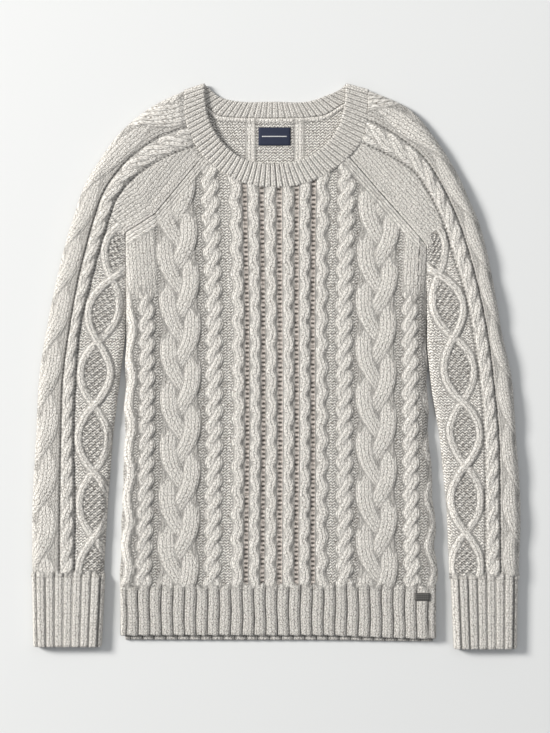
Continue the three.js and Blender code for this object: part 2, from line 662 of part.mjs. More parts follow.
function sleeve(stations, backRaglan, starts) {
  const plan = sleevePlan(stations, backRaglan);
  const lengths = lengthTable(plan);
  const planPoint = (line, s) => {
    const from = plan.along(line.from, s);
    const to = line.to === "seam" ? plan.seam(s) : plan.along(line.to, s);
    return blend(from, to, line.at);
  };
  const inCap = (s) => smoothstep(s, UNDERARM_STATION - 0.6, UNDERARM_STATION + 0.4);

  // Top of the plain sleeve: round at the fold, low or level with the front at the seam
  const sleeveTop = (x, y, s) => {
    const fold = plan.along("fold", s);
    const seam = plan.seam(s);
    const top = plan.top(s);
    const foldDepth = Math.hypot(x - fold[0], y - fold[1]);
    const seamDepth = Math.hypot(x - seam[0], y - seam[1]);
    const width = Math.hypot(fold[0] - seam[0], fold[1] - seam[1]);
    const foldTurn = 1 - Math.min(1, foldDepth / SLEEVE_FOLD_RADIUS);
    const round = top / 2 + (top / 2) * Math.sqrt(1 - foldTurn * foldTurn);
    const rim = SLEEVE_WALL + SEAM_GAP;
    const seamTurn = 1 - Math.min(1, seamDepth / SLEEVE_SEAM_RADIUS);
    const lowTop = round - (round - SLEEVE_INSIDE_TOP) * smoothstep(foldDepth, 20, width * 0.95);
    const tube = rim + (lowTop - rim) * Math.sqrt(1 - seamTurn * seamTurn);
    const seamTop = bodyTop(seam[0] - plan.outwards * 1.2, seam[1]);
    const cap = seamTop + (round - seamTop) * smoothstep(seamDepth, 0, Math.min(34, width * 0.6));
    return tube + (cap - tube) * inCap(s);
  };

  const relief = (line, s, length) => {
    let height = GROUND;
    if (line.from === "fold") {
      const across = -plan.outwards * line.at * 30;
      height = cableHeight(across, length - starts.plait, SLEEVE_PLAIT) * smoothstep(line.at, 0.02, 0.3);
    } else if (line.from === "groove") {
      height = cableHeight((line.at - 0.5) * 16 * -plan.outwards, length - starts.rope, SLEEVE_ROPE);
    } else {
      const [x, y] = planPoint(line, s);
      const inner = plan.along("inner", s);
      const across = Math.hypot(x - inner[0], y - inner[1]);
      height = diamondHeight(across - DIAMOND.width / 2, length - starts.diamond);
      height += (KNIT_CAP.height - height) * smoothstep(s, KNIT_CAP.from, KNIT_CAP.to);
      const seam = plan.seam(s);
      const seamDepth = Math.hypot(x - seam[0], y - seam[1]);
      height *= smoothstep(seamDepth, 1, 9);
    }
    const ends = smoothstep(length, 0, 6) * smoothstep(lengths.total - length, 0, 8);
    return GROUND + (Math.max(height, GROUND) - GROUND) * ends;
  };

  // The last row stops beside the neckband, the first beside the cuff
  const finish = (x, y, s, polyline, gap = NECK_SEAM_GAP) => {
    return s >= plan.last - 1e-6 ? besideSeam(polyline, x, y, gap) : [x, y];
  };
  const stationsOf = (step) => {
    const places = placesAlong(0, lengths.total, step, starts.diamond);
    return places.map((length) => [length, lengths.stationAt(length)]);
  };

  const outer = [];
  const inner = [];
  const addRow = (rows, key, step, pointAt) => {
    rows.push({ key, points: stationsOf(step).map(([length, s]) => ({ ...pointAt(s, length), key: s })) });
  };

  // Seam edge of the top, on the body's side; its points are the stations themselves
  const seamStations = [];
  for (let s = 0; s <= plan.last; s += s < UNDERARM_STATION ? 1 : 0.5) {
    seamStations.push(s);
  }
  outer.push({
    key: 0,
    points: seamStations.map((s) => {
      const [x, y] = finish(...plan.seam(s), s, frontSeam);
      return { x, y, z: sleeveTop(x, y, s) + GROUND * inCap(s), key: s };
    }),
  });
  inner.push({
    key: 0,
    points: seamStations.map((s) => {
      const seam = plan.seam(s);
      const x = seam[0] + plan.outwards * SLEEVE_WALL * (1 - inCap(s));
      const [px, py] = finish(x, seam[1], s, frontSeam);
      const under = sleeveTop(seam[0], seam[1], s) - SLEEVE_WALL;
      const rim = SLEEVE_WALL + SEAM_GAP;
      return { x: px, y: py, z: Math.max(rim, rim + (under - rim) * inCap(s)), key: s };
    }),
  });

  // Top from the seam out to the fold
  const topLines = [...SLEEVE_TOP_LINES].reverse();
  topLines.forEach((line, index) => {
    addRow(outer, 0.05 + (0.4 * index) / topLines.length, line.step, (s, length) => {
      const [x, y] = planPoint(line, s);
      const [px, py] = finish(x, y, s, frontSeam);
      return { x: px, y: py, z: sleeveTop(x, y, s) + relief(line, s, length) };
    });
  });
  SLEEVE_INSIDE_LINES.forEach((line, index) => {
    addRow(inner, 0.05 + (0.4 * index) / SLEEVE_INSIDE_LINES.length, 55, (s) => {
      const [x, y] = planPoint(line, s);
      const [px, py] = finish(x, y, s, frontSeam);
      return { x: px, y: py, z: sleeveTop(x, y, s) - SLEEVE_WALL };
    });
  });

  // The fold itself and the flat underside
  const foldPoint = (s, depth, z, polyline) => {
    const fold = plan.along("fold", s);
    const seam = plan.seam(s);
    const width = Math.hypot(fold[0] - seam[0], fold[1] - seam[1]);
    const [x, y] = blend(fold, seam, depth / width);
    const [px, py] = finish(x, y, s, polyline, SHOULDER_FOLD_GAP);
    return { x: px, y: py, z };
  };
  addRow(outer, 0.5, 26, (s) => foldPoint(s, 0, plan.top(s) / 2, frontSeam));
  addRow(outer, 0.55, 30, (s) => foldPoint(s, 3.2, plan.top(s) * 0.15, frontSeam));
  addRow(outer, 0.6, 40, (s) => foldPoint(s, SLEEVE_FOLD_RADIUS, 0, backSeam));
  addRow(inner, 0.5, 55, (s) => foldPoint(s, SLEEVE_WALL, plan.top(s) / 2, frontSeam));
  addRow(inner, 0.6, 55, (s) => foldPoint(s, SLEEVE_FOLD_RADIUS, SLEEVE_WALL, backSeam));
  for (const part of [0.5, 1]) {
    const under = (s, z) => {
      const fold = plan.along("fold", s);
      const back = plan.back(s);
      const width = Math.hypot(fold[0] - back[0], fold[1] - back[1]);
      const start = SLEEVE_FOLD_RADIUS / width;
      const [x, y] = blend(fold, back, start + (1 - start) * part);
      const [px, py] = finish(x, y, s, backSeam);
      return { x: px, y: py, z };
    };
    if (part < 1) {
      addRow(outer, 0.6 + 0.4 * part, 60, (s) => under(s, 0));
      addRow(inner, 0.6 + 0.4 * part, 60, (s) => under(s, SLEEVE_WALL));
    } else {
      for (const [rows, z] of [[outer, 0], [inner, SLEEVE_WALL]]) {
        rows.push({ key: 1, points: seamStations.map((s) => ({ ...under(s, z), key: s })) });
      }
    }
  }
  if (plan.outwards < 0) {
    for (const rows of [outer, inner]) {
      rows.reverse();
      rows.forEach((row) => {
        row.key = 1 - row.key;
      });
    }
  }
  return wall(outer, inner);
}

// A ribbed tube pressed flat: its outline is a rectangle with round ends
function cuff(size) {
  const radius = size.height / 2;
  const rowsAt = (inset, ribs) => {
    const rows = [];
    const topWidth = Math.abs(size.outer[0] - size.inner[0]);
    const flat = topWidth - 2 * radius;
    const ribCount = Math.round(flat / CUFF_RIB.pitch) + 1;
    const outline = [];
    for (let i = 0; i <= ribCount * 3; i += 1) {
      const t = i / (ribCount * 3);
      const phase = (t * ribCount) % 1;
      const rib = ribs ? CUFF_RIB.relief * Math.sqrt(Math.max(0, 1 - (2 * phase - 1) ** 2)) : 0;
      outline.push({ t: 1 - t, end: 0, lift: 1, rib });
    }
    for (const [end, sign] of [[0, -1], [1, 1]]) {
      const turns = ribs ? [30, 60, 90, 120, 150] : [45, 90, 135];
      const arc = turns.map((degrees) => ({ end: sign, turn: THREE.MathUtils.degToRad(degrees), t: end }));
      if (end === 0) {
        outline.push(...arc, { t: 0, lift: -1, end: 0, rib: 0 }, { t: 0.5, lift: -1, end: 0, rib: 0 },
          { t: 1, lift: -1, end: 0, rib: 0 });
      } else {
        outline.push(...arc.reverse());
      }
    }
    outline.push(outline[0]);
    outline.forEach((place, index) => {
      const points = [size.bottom, size.bottom + 3, size.top - SEAM_GAP].map((y, level) => {
        const t = (y - size.bottom) / (size.top - size.bottom);
        const outerX = size.outer[1] + (size.outer[0] - size.outer[1]) * t;
        const innerX = size.inner[1] + (size.inner[0] - size.inner[1]) * t;
        const middle = (outerX + innerX) / 2;
        const half = Math.abs(outerX - innerX) / 2 - radius;
        const reach = radius - inset - (level === 0 && inset === 0 ? 0.8 : 0);
        let x = middle + (2 * place.t - 1) * half;
        let z = radius + place.lift * (place.lift < 0 ? radius - inset : reach + place.rib);
        if (place.turn !== undefined) {
          x = middle + place.end * (half + reach * Math.sin(place.turn));
          z = radius + reach * Math.cos(place.turn);
        }
        return { x, y, z: Math.max(z, inset === 0 ? 0 : CUFF_WALL), key: y };
      });
      rows.push({ points, key: index / (outline.length - 1) });
    });
    rows[rows.length - 1].points = rows[0].points;
    return rows;
  };
  const outer = rowsAt(0, true).reverse();
  const inner = rowsAt(CUFF_WALL, false).reverse();
  for (const rows of [outer, inner]) {
    rows.forEach((row) => {
      row.key = 1 - row.key;
    });
  }
  return wall(outer, inner, true);
}

// The neckband: a ring whose front half lies on its back half, folded over at the shoulders
function neckband() {
  const frontCount = BAND_RIBS.front * 2;
  const backCount = BAND_RIBS.back * 2;
  const ringCount = frontCount + backCount;
  const middleOf = (index) => {
    const front = index < frontCount;
    const t = front ? index / frontCount : (index - frontCount) / backCount;
    const sample = Math.round(t * CURVE_SAMPLES);
    const free = (front ? frontFree : backFree)[sample];
    const seam = (front ? frontSeam : backSeam)[sample];
    return { front, free, seam, nearest: Math.min(t, 1 - t) * 2 };
  };
  const low = BAND_WALL / 2;
  const high = BAND_TOP - BAND_WALL / 2;
  const levelOf = (place) => {
    const turn = 1 - Math.min(1, place.nearest / 0.14);
    const bend = Math.sqrt(1 - turn * turn);
    const middle = (low + high) / 2;
    return middle + ((place.front ? 1 : -1) * bend * (high - low)) / 2;
  };
  const midPoint = (index, across) => {
    const place = middleOf((index + ringCount) % ringCount);
    const [x, y] = blend(place.free, place.seam, across);
    return { point: new THREE.Vector3(x, y, levelOf(place)), place };
  };
  const rowsAt = (side, step) => {
    const rows = [];
    for (let index = 0; index <= ringCount; index += step) {
      const levels = side > 0 ? [0, 0.12, 0.9, 1] : [0, 0.5, 1];
      const points = levels.map((across) => {
        const { point, place } = midPoint(index, across);
        const before = midPoint(index - 1, across).point;
        const after = midPoint(index + 1, across).point;
        const run = after.sub(before);
        const fall = midPoint(index, 1).point.sub(midPoint(index, 0).point);
        const normal = run.cross(fall).normalize();
        const crest = index % 2 === 1 && across > 0.05 && across < 0.95;
        const rib = side > 0 && place.front && crest ? BAND_RIB_RELIEF : 0;
        const inside = side < 0 && !place.front && crest ? BAND_RIB_RELIEF * 0.6 : 0;
        point.addScaledVector(normal, side * (BAND_WALL / 2 + rib + inside));
        return { x: point.x, y: point.y, z: Math.max(0, point.z), key: across };
      });
      rows.push({ points, key: index / ringCount });
    }
    rows[rows.length - 1].points = rows[0].points;
    return rows;
  };
  return wall(rowsAt(1, 1), rowsAt(-1, 2), true);
}

function hemTab() {
  const places = [0, 0.25, 0.5, 0.75, 1].map((t) => TAB.left + (TAB.right - TAB.left) * t);
  const rows = (lift) => places.map((x) => {
    const points = [TAB.bottom, TAB.top].map((y) => ({ x, y, z: bodyTop(x, y) + lift, key: y }));
    return { points, key: x };
  });
  return wall(rows(TAB.lift + TAB.thickness), rows(TAB.lift));
}

function neckLabel() {
  const geometry = new THREE.BoxGeometry(LABEL.width, LABEL.height, LABEL.thickness);
  geometry.translate(LABEL.x, LABEL.y, BODY_WALL + SEAM_GAP + LABEL.thickness / 2);
  return geometry;
}

function knit(colour) {
  return new THREE.MeshStandardMaterial({ color: colour, roughness: 0.95, metalness: 0 });
}

function ribbon(colour) {
  return new THREE.MeshStandardMaterial({ color: colour, roughness: 0.7, metalness: 0 });
}

const sweater = new THREE.Group();

function addPiece(name, geometry, material) {
  const mesh = new THREE.Mesh(geometry, material);
  mesh.name = name;
  sweater.add(mesh);
}

addPiece("front_panel", frontPanel(), knit(0xbeb9b3));
addPiece("back_panel", backPanel(), knit(0xb7b1aa));
addPiece("sleeve_left", sleeve(SLEEVE_LEFT, BACK_RAGLAN_LEFT, SLEEVE_STARTS.left), knit(0xc6c2b9));
addPiece("sleeve_right", sleeve(SLEEVE_RIGHT, BACK_RAGLAN_RIGHT, SLEEVE_STARTS.right), knit(0xb5b2ad));
addPiece("hem_rib_front", frontHem(), knit(0xb2ada7));
addPiece("hem_rib_back", backHem(), knit(0xaaa59e));
addPiece("cuff_left", cuff(CUFF_LEFT), knit(0xbcb7ae));
addPiece("cuff_right", cuff(CUFF_RIGHT), knit(0xb2aea8));
addPiece("neckband", neckband(), knit(0xbab5ad));
addPiece("neck_label", neckLabel(), ribbon(0x3a4053));
addPiece("hem_tab", hemTab(), ribbon(0x55534f));

const bounds = new THREE.Box3().setFromObject(sweater);
const centre = bounds.getCenter(new THREE.Vector3());
sweater.position.set(-centre.x, -centre.y, -bounds.min.z);
sweater.updateMatrixWorld(true);

export default sweater;
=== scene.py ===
import math

import bpy
import numpy as np
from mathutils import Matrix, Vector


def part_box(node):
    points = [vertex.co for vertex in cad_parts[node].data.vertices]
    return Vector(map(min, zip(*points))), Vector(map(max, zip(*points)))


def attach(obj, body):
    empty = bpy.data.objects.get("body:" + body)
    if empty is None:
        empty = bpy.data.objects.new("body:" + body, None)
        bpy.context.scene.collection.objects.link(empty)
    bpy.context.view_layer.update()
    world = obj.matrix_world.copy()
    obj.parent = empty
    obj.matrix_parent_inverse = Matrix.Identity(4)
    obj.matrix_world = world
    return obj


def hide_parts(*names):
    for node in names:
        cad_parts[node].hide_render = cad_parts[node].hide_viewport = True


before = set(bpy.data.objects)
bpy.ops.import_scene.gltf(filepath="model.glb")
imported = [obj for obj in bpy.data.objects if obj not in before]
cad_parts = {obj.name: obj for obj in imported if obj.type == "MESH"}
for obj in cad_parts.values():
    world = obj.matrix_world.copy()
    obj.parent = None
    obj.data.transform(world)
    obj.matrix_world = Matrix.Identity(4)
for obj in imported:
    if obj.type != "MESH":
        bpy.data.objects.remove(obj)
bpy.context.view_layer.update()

# A cable knit sweater laid flat on its back. Shapes are worked out in millimetres in the part's own
# plan, +X to the viewer's right, +Y towards the collar, +Z up, and moved into the frame at the end.

MM = 0.001
BODY_WALL = 3.2
SLEEVE_WALL = 3.6
BAND_WALL = 3.6
CUFF_WALL = 3.6
SEAM_GAP = 0.3
# The fronts and sleeves reach a little under the neckband, which hides their edges
NECK_TUCK = 1.2

# Heights of the body: its middle, the roll beside each side seam, and where the roll and its bulge end
BODY_TOP = 7.6
SIDE_TOP = 10.4
HEM_SIDE_TOP = 9
SIDE_ROLL = 10
SIDE_BULGE = 58
SIDE_RIM = BODY_WALL + SEAM_GAP

# Body outline from the hem seam up: left edge, right edge, middle and spread of the cable pattern
BODY = {
    "y": [-325, -265, -200, -82, 60, 240],
    "left": [-183, -184, -182, -177.5, -177, -177],
    "right": [189, 189, 186.5, 178.5, 177, 177],
    "middle": [3.9, 3.9, 4.1, 5, 4.6, 3.5],
    "spread": [1.028, 1.028, 1.018, 1.006, 1.004, 1.07],
}
HEM_SEAM_Y = -265
FRONT_HEM = {"left": -318.5, "middle": -318.5, "right": -322.5}
BACK_HEM = {"left": -324.5, "middle": -325, "right": -326.5}
RAGLAN_LEFT = [(-190, 149.5), (-178, 156), (-143, 178), (-87, 246), (-60, 279)]
RAGLAN_RIGHT = [(60, 276.5), (87.5, 245), (178, 141), (190, 137)]
BACK_RAGLAN_LEFT = [(-178, 156), (-92, 311.5)]
BACK_RAGLAN_RIGHT = [(91, 313), (178, 141)]

# Higher than any edge of the garment
FAR = 1e6
CURVE_POINTS = 241

# Neckband edges: on top from the right shoulder fold round the front, below across the back
FRONT_FREE_EDGE = [
    (82.5, 332), (80.8, 308), (74.8, 285), (64.3, 267.5), (52, 255.5), (37.3, 246), (17.7, 240), (-1.9, 238),
    (-23, 239.3), (-41.3, 246), (-57.8, 258), (-69.6, 272), (-79.4, 292.8), (-83.2, 311), (-84, 332),
]
FRONT_SEAM_EDGE = [
    (109.5, 324.5), (109.5, 299), (104.4, 269.6), (92, 251.3), (76, 236.6), (53.7, 221.8), (27, 212.4),
    (-1.2, 209.5), (-30.7, 213), (-55, 221.8), (-75.5, 236.6), (-90.3, 252.5), (-103.8, 278), (-108, 300),
    (-108.5, 324),
]
BACK_FREE_EDGE = [
    (-84, 332), (-76, 325), (-65, 317), (-41, 312), (-2, 312), (37, 312), (60, 319.5), (74, 325.5),
    (82.5, 332),
]
BACK_SEAM_EDGE = [
    (-108.5, 324), (-93, 314), (-80, 305), (-68, 295.8), (-52, 293.8), (-2, 292.5), (39, 293.8), (59, 297),
    (76, 307.5), (92, 315.5), (109.5, 324.5),
]
NECK_MIDDLE = (0, 290)
BAND_TOP = 8.9
BAND_RIB = {"front": 56, "back": 31, "pitch": 6.8, "relief": 1.7, "lean": 1.1}
# Points round the front half of the neckband and round the back half
BAND_COUNTS = (500, 280)

# Ribs: the first groove, the pitch, the relief, how flat the crests are, how far the ribs sway, the painted
# shade in the grooves and on the crests, and the share of a rib's profile that has the painted shade of its
# wall
HEM_RIB = {
    "first": 176.3, "pitch": 13.68, "relief": 2.9, "flatness": 2.8, "sway": 0.5,
    "dark": 0.36, "light": 0.86, "wall": 0.6,
}
CUFF_RIB = {
    "first": 2.2, "pitch": 10.8, "relief": 2.3, "flatness": 4, "sway": 0,
    "dark": 0.36, "light": 0.92, "wall": 0.42,
}
HEM_CELL = 1.15
CUFF_GAP = 0.06
# Ribs and strands take their yarn's flecks from different places
RIB_SHIFT = 38.4
STRAND_SHIFT = 61.7

# Sleeve stations from the cuff up: outer fold, grooves beside the rope, seam edge, height when flat. The
# back edge goes up the back's raglan seam, and the neck end lies lower by neck_drop, under the band
SLEEVE_TOPS = [10.8, 11, 11, 11, 11, 11, 11, 11, 11, 10.8, 10.6, 10.2, 9.6]
SLEEVE_LEFT = {
    "fold": [(-287, -249.5), (-287, -170), (-282.5, -82), (-278.5, -11), (-268, 54), (-257, 107), (-246, 151),
             (-238, 176), (-226.5, 210), (-207.5, 242.5), (-183, 275), (-148.5, 303.5), (-108.5, 324)],
    "groove": [(-255.5, -249.5), (-255, -170), (-253.5, -82), (-251, -13), (-242.5, 49), (-233, 101),
               (-222, 146), (-215, 171), (-203, 204.5), (-185, 231), (-166, 250), (-136.5, 270),
               (-105, 281.5)],
    "inner": [(-238, -249.5), (-237, -170), (-238.5, -82), (-236, -14.5), (-230.5, 46.5), (-218.5, 96.5),
              (-206.5, 142), (-198.5, 167), (-187.5, 197), (-171, 218), (-155, 231), (-127.5, 247),
              (-95, 259)],
    "seam": [(-204, -249.5), (-199.5, -170), (-193, -82), (-185, -17), (-178.2, 36), (-178, 86), (-178, 131),
             (-178, 156), (-160.5, 167), (-143, 178), (-124, 201.1), (-103, 226.6), (-87, 246)],
    "top": SLEEVE_TOPS,
    "back": BACK_RAGLAN_LEFT,
    "start": {"plait": 20, "rope": 6, "diamond": 46},
    "neck_drop": 1.8,
}
SLEEVE_RIGHT = {
    "fold": [(285.5, -252), (288, -170), (282.5, -82), (277.5, -15), (266.5, 36), (257, 91.5), (246.5, 142),
             (238.5, 169.5), (227.5, 195.5), (213.5, 226), (191, 262.5), (158, 301.5), (109.5, 324.5)],
    "groove": [(265, -252), (264, -170), (262.5, -84), (256.5, -19.5), (250, 32.5), (239.5, 87), (226, 137.5),
               (217.5, 164), (206.5, 190), (192.5, 218), (173.5, 246), (144, 270), (110, 290)],
    "inner": [(246.5, -252), (246.5, -170), (245.5, -85.5), (240.5, -22), (233.5, 29), (223.5, 82),
              (208, 131.5), (200, 160), (190, 184), (177, 209), (162, 229), (134.5, 247), (101.5, 263)],
    "seam": [(205.5, -252), (202, -170), (193.5, -83), (184.5, -31), (178.5, 18.5), (178, 71.5), (178, 121),
             (178, 141), (160, 161.7), (142, 182.4), (124, 203.1), (106, 223.7), (87.5, 245)],
    "top": SLEEVE_TOPS,
    "back": BACK_RAGLAN_RIGHT[::-1],
    "start": {"plait": 20, "rope": 6, "diamond": 55},
    "neck_drop": 0.5,
}
UNDERARM_STATION = 7
SLEEVE_FOLD_RADIUS = 10
SLEEVE_SEAM_RADIUS = 9
SLEEVE_INSIDE_TOP = 8.8
SLEEVE_ROWS = 520
# Lines round the fold below its widest place, and close lines beside the seam and the fold
FOLD_LINES = 7
SEAM_STEPS = [0, 0.004, 0.015, 0.035]
FOLD_STEPS = [0.9, 0.938, 0.966, 0.986, 0.996, 1]

CUFF_LEFT = {"outer": (-286, -284.5), "inner": (-204, -208), "top": -249.5, "bottom": -332, "height": 10.8}
CUFF_RIGHT = {"outer": (283.5, 282.5), "inner": (208, 211.5), "top": -252, "bottom": -334.5, "height": 10.8}

LABEL = {"x": -1.8, "y": 270.8, "width": 38, "height": 21.5, "thickness": 0.9, "crown": 0.35}
LABEL_LINE = {"half": 14.8, "low": -0.7, "high": 0.5, "thickness": 0.15, "gap": 0.02}
TAB = {"left": 164, "right": 181.5, "top": -268, "bottom": -277, "thickness": 1, "lift": 3.1}

# Cable columns: strands of half width `half` that sway from side to side once a `period`. A filling is
# plain knit of that height under the strands, with its painted shade as the ground; crease is the painted
# shade at the strands' edges, and the painted strand shade dims all of a cable's strands
WAVE = {
    "strands": 1, "sway": 1.9, "half": 7, "period": 28.5, "round": 2.4, "weave": 0, "filling": 1.2,
    "ground": 0.88,
}
# Pits on the right of each wave: place, half width, depth, and how much painted shade they hold
PIT = {"at": 4.6, "half": 2, "depth": 1.0, "dark": 0.34}
INNER_ROPE = {"strands": 2, "sway": 4.1, "half": 6.7, "period": 41, "round": 2.1, "weave": 0.7}
OUTER_ROPE = {"strands": 2, "sway": 3.9, "half": 6.6, "period": 40, "round": 2.1, "weave": 0.7}
PLAIT = {
    "strands": 3, "sway": 13.4, "half": 11.2, "period": 171, "round": 2.3, "weave": 0.9, "filling": 1.4,
    "ground": 0.68, "crease": 0.48, "painted_strand_shade": 0.95,
}
SIDE_CABLE = {"strands": 1, "sway": 3, "half": 6, "period": 57, "round": 2.4, "weave": 0}
SLEEVE_PLAIT = {
    "strands": 3, "sway": 16, "half": 12, "period": 187, "round": 2.6, "weave": 0.9, "filling": 1.6,
    "ground": 0.76, "reach": 31, "crease": 0.5,
}
SLEEVE_ROPE = {
    "strands": 2, "sway": 2.9, "half": 6, "period": 47, "round": 2.9, "weave": 0.9, "filling": 1.3,
    "ground": 0.8, "reach": 8.2, "crease": 0.54,
}
DIAMOND = {"width": 45.5, "half": 5.2, "period": 78.5, "round": 2.7, "filling": 1.3}
# Painted shade beside a strand where its cable names no other, and height of the purl ground
PLAIN_CREASE = 0.66
GROUND = 0.5
# Openwork ladders: places, half width, depth, pitch of the rungs, shift of the yarn's flecks, and the painted
# shade over them
LADDERS = {
    "places": (-38.4, -19.2, 0, 19.2, 38.4), "half": 3, "depth": 0.4, "rung": 5.4, "shift": 3.7,
    "shade": 0.92,
}
FRONT_COLUMNS = [
    {"cable": WAVE, "at": {"left": 9.6, "right": 9.6}, "start": {"left": -83.8, "right": -95}},
    {"cable": WAVE, "at": {"left": 28.8, "right": 28.8}, "start": {"left": -95, "right": -83.8}},
    {"cable": WAVE, "at": {"left": 48.4, "right": 48.4}, "start": {"left": -83.8, "right": -95}},
    {"cable": INNER_ROPE, "at": {"left": 77.2, "right": 75.3}, "start": {"left": -84, "right": -84}},
    {"cable": PLAIT, "at": {"left": 117, "right": 112.4}, "start": {"left": -107, "right": -104}},
    {"cable": OUTER_ROPE, "at": {"left": 156.5, "right": 152.5}, "start": {"left": -84, "right": -84}},
    {"cable": SIDE_CABLE, "at": {"left": 176, "right": 176}, "start": {"left": -84, "right": -84}},
]
# Each column takes its yarn's flecks from another place, and reaches no further than its neighbours
COLUMN_SHIFT = 143
COLUMN_REACH = 32
# Grooves beside the sleeves' ropes: half width, depth, how much painted shade they hold, and the pitch of the
# darker stitch gaps
OUTER_GROOVE = {"half": 1.7, "depth": 0.4, "dark": 0.8, "stitch": 4.6}
INNER_GROOVE = {"half": 2.3, "depth": 0.2, "dark": 0.85, "stitch": 4.8}
# Above this station the sleeve is plain knit between its rope and the raglan seam
KNIT_CAP = 7.3
# Towards the underarm the outer ropes give way to plain knit, from one height to the other
UNDERARM_KNIT = {"rise": (62, 105), "across": (139, 144), "height": 1.5, "shade": 0.9}
# Plain knit along the raglan seams: its width, the heights between which its painted dark lines of shade
# between the ridges begin, how dark they are, the pitch of its ridges, and the distance square to the seam
# for each step in Y
RAGLAN_BAND = 11
RAGLAN_LINES = (158, 184)
RAGLAN_DARK = 0.42
RAGLAN_RIDGE = 3.4
RAGLAN_SQUARE = 0.66
BACK_INSIDE = {"half": 90, "bands": (-29.5, 26.5), "band_half": 5.2, "stitch": 4.6}

SIDE_WAVE = {"out": 0.9, "start": -77, "period": 62}

# Kinds of stitch, as the material reads them
KNIT, PURL, MOSS, LADDER = 0, 1, 2, 3

# Levels of painted shade on plain knit, on purl, and on the sleeves' purl
PLAIN_SHADE = 0.9
PURL_SHADE = 1.04
SLEEVE_PURL_SHADE = 1.14
# Beside the ropes and plaits the front's purl lies deeper, with painted shade: from which place outwards, and
# how dark
CHANNELS = [(61.5, 0.9), (84, 0.8)]
MOSS_CELL = 4.3
STITCH = {"width": 4.2, "height": 3.4, "purl": 4.4, "purl_height": 3.3}

# Yarn of three tones, from the light one to the dark flecks
CREAM = (0.85, 0.821, 0.77)
OATMEAL = (0.76, 0.725, 0.669)
FLECK = (0.25, 0.218, 0.186)

# The front's pattern reaches so far from its middle, with a column of points at each cell
PATTERN_HALF = 160
CELL = 1.45
FRONT_ROWS = 350
# How far the cloth lies up and down
UNEVEN = 0.25
SIDES = ((-1, "left"), (1, "right"))
rng = np.random.default_rng(11)

# The part's own plan is moved so that its bounding box is centred; the back panel tells by how much
back_low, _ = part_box("back_panel")
OFFSET = np.array([back_low.x / MM - min(BODY["left"]), back_low.y / MM - (HEM_SEAM_Y + SEAM_GAP), 0.0])


def smoothstep(value, low, high):
    t = np.clip((np.asarray(value, float) - low) / (high - low), 0, 1)
    return t * t * (3 - 2 * t)


def mix(first, second, share):
    """From the first to the second, as far as share goes from 0 to 1."""
    return first * (1 - share) + second * share


def xyz(x, y, z):
    return np.stack([x, y, z], -1)


def quarter_round(share):
    """Height of a quarter circle, from 0 at its foot to 1 where it levels out."""
    turn = 1 - np.clip(share, 0, 1)
    return np.sqrt(1 - turn * turn)


def keys(count):
    return np.linspace(0, 1, count)


def polyline_y(points, x):
    xs, ys = zip(*points)
    return np.interp(x, xs, ys)


def along_line(points, places, marks=None):
    """Points of a line at places that are counted by its corners, or by marks given for them."""
    points = np.asarray(points, float)
    marks = range(len(points)) if marks is None else marks
    return np.stack([np.interp(places, marks, points[:, i]) for i in (0, 1)], -1)


def run_length(points):
    """Length along a row of points, from 0 at its start."""
    return np.concatenate([[0], np.cumsum(np.linalg.norm(np.diff(points, axis=0), axis=1))])


def distance(first, second):
    return np.linalg.norm(first - second, axis=-1)


def smooth_curve(points, places):
    """Centripetal Catmull-Rom curve through the points, at places from 0 to 1."""
    p = np.array(points, float)
    p = np.vstack([2 * p[0] - p[1], p, 2 * p[-1] - p[-2]])
    spans = len(points) - 1
    t = np.clip(np.asarray(places, float), 0, 1) * spans
    i = np.minimum(t.astype(int), spans - 1)
    t = (t - i)[:, None]
    p0, p1, p2, p3 = p[i], p[i + 1], p[i + 2], p[i + 3]
    d0, d1, d2 = (np.sqrt(distance(a, b))[:, None] for a, b in ((p0, p1), (p1, p2), (p2, p3)))
    m1 = ((p1 - p0) / d0 - (p2 - p0) / (d0 + d1) + (p2 - p1) / d1) * d1
    m2 = ((p2 - p1) / d1 - (p3 - p1) / (d1 + d2) + (p3 - p2) / d2) * d1
    return p1 + m1 * t + (3 * (p2 - p1) - 2 * m1 - m2) * t**2 + (2 * (p1 - p2) + m1 + m2) * t**3


def even_curve(points):
    """Evenly spaced points of the smooth curve through the given ones."""
    dense = smooth_curve(points, keys(2001))
    length = run_length(dense)
    return along_line(dense, np.linspace(0, length[-1], CURVE_POINTS), length)


front_free = even_curve(FRONT_FREE_EDGE)
front_seam = even_curve(FRONT_SEAM_EDGE)
back_free = even_curve(BACK_FREE_EDGE)
back_seam = even_curve(BACK_SEAM_EDGE)
front_neck = front_seam[front_seam[:, 1] < 262][::-1]


def soft_noise(shape, cells):
    """Smooth random values from -1 to 1, with about so many cells each way."""
    coarse = rng.uniform(-1, 1, (cells[0] + 1, cells[1] + 1))
    across = np.linspace(0, cells[0], shape[0])
    along = np.linspace(0, cells[1], shape[1])
    rows = np.array([np.interp(across, range(cells[0] + 1), column) for column in coarse.T]).T
    return np.array([np.interp(along, range(cells[1] + 1), row) for row in rows])


# The plain body

def body_at(y, column):
    return np.interp(y, BODY["y"], BODY[column])


def side_wave(y):
    """How far the half cables along the side seams push the edge out."""
    return SIDE_WAVE["out"] * np.sin(2 * math.pi * (y - SIDE_WAVE["start"]) / SIDE_WAVE["period"])


def side_top(y):
    return SIDE_TOP + (HEM_SIDE_TOP - SIDE_TOP) * smoothstep(-y, 200, -HEM_SEAM_Y)


def side_depth(x, y):
    """How far in from the nearer side edge a place lies."""
    return np.maximum(0, np.minimum(x - body_at(y, "left"), body_at(y, "right") - x))


def underarm_lift(y):
    """How much higher the edges of body and sleeve lie where they meet under the arm."""
    return 6.2 * smoothstep(y, 50, 150)


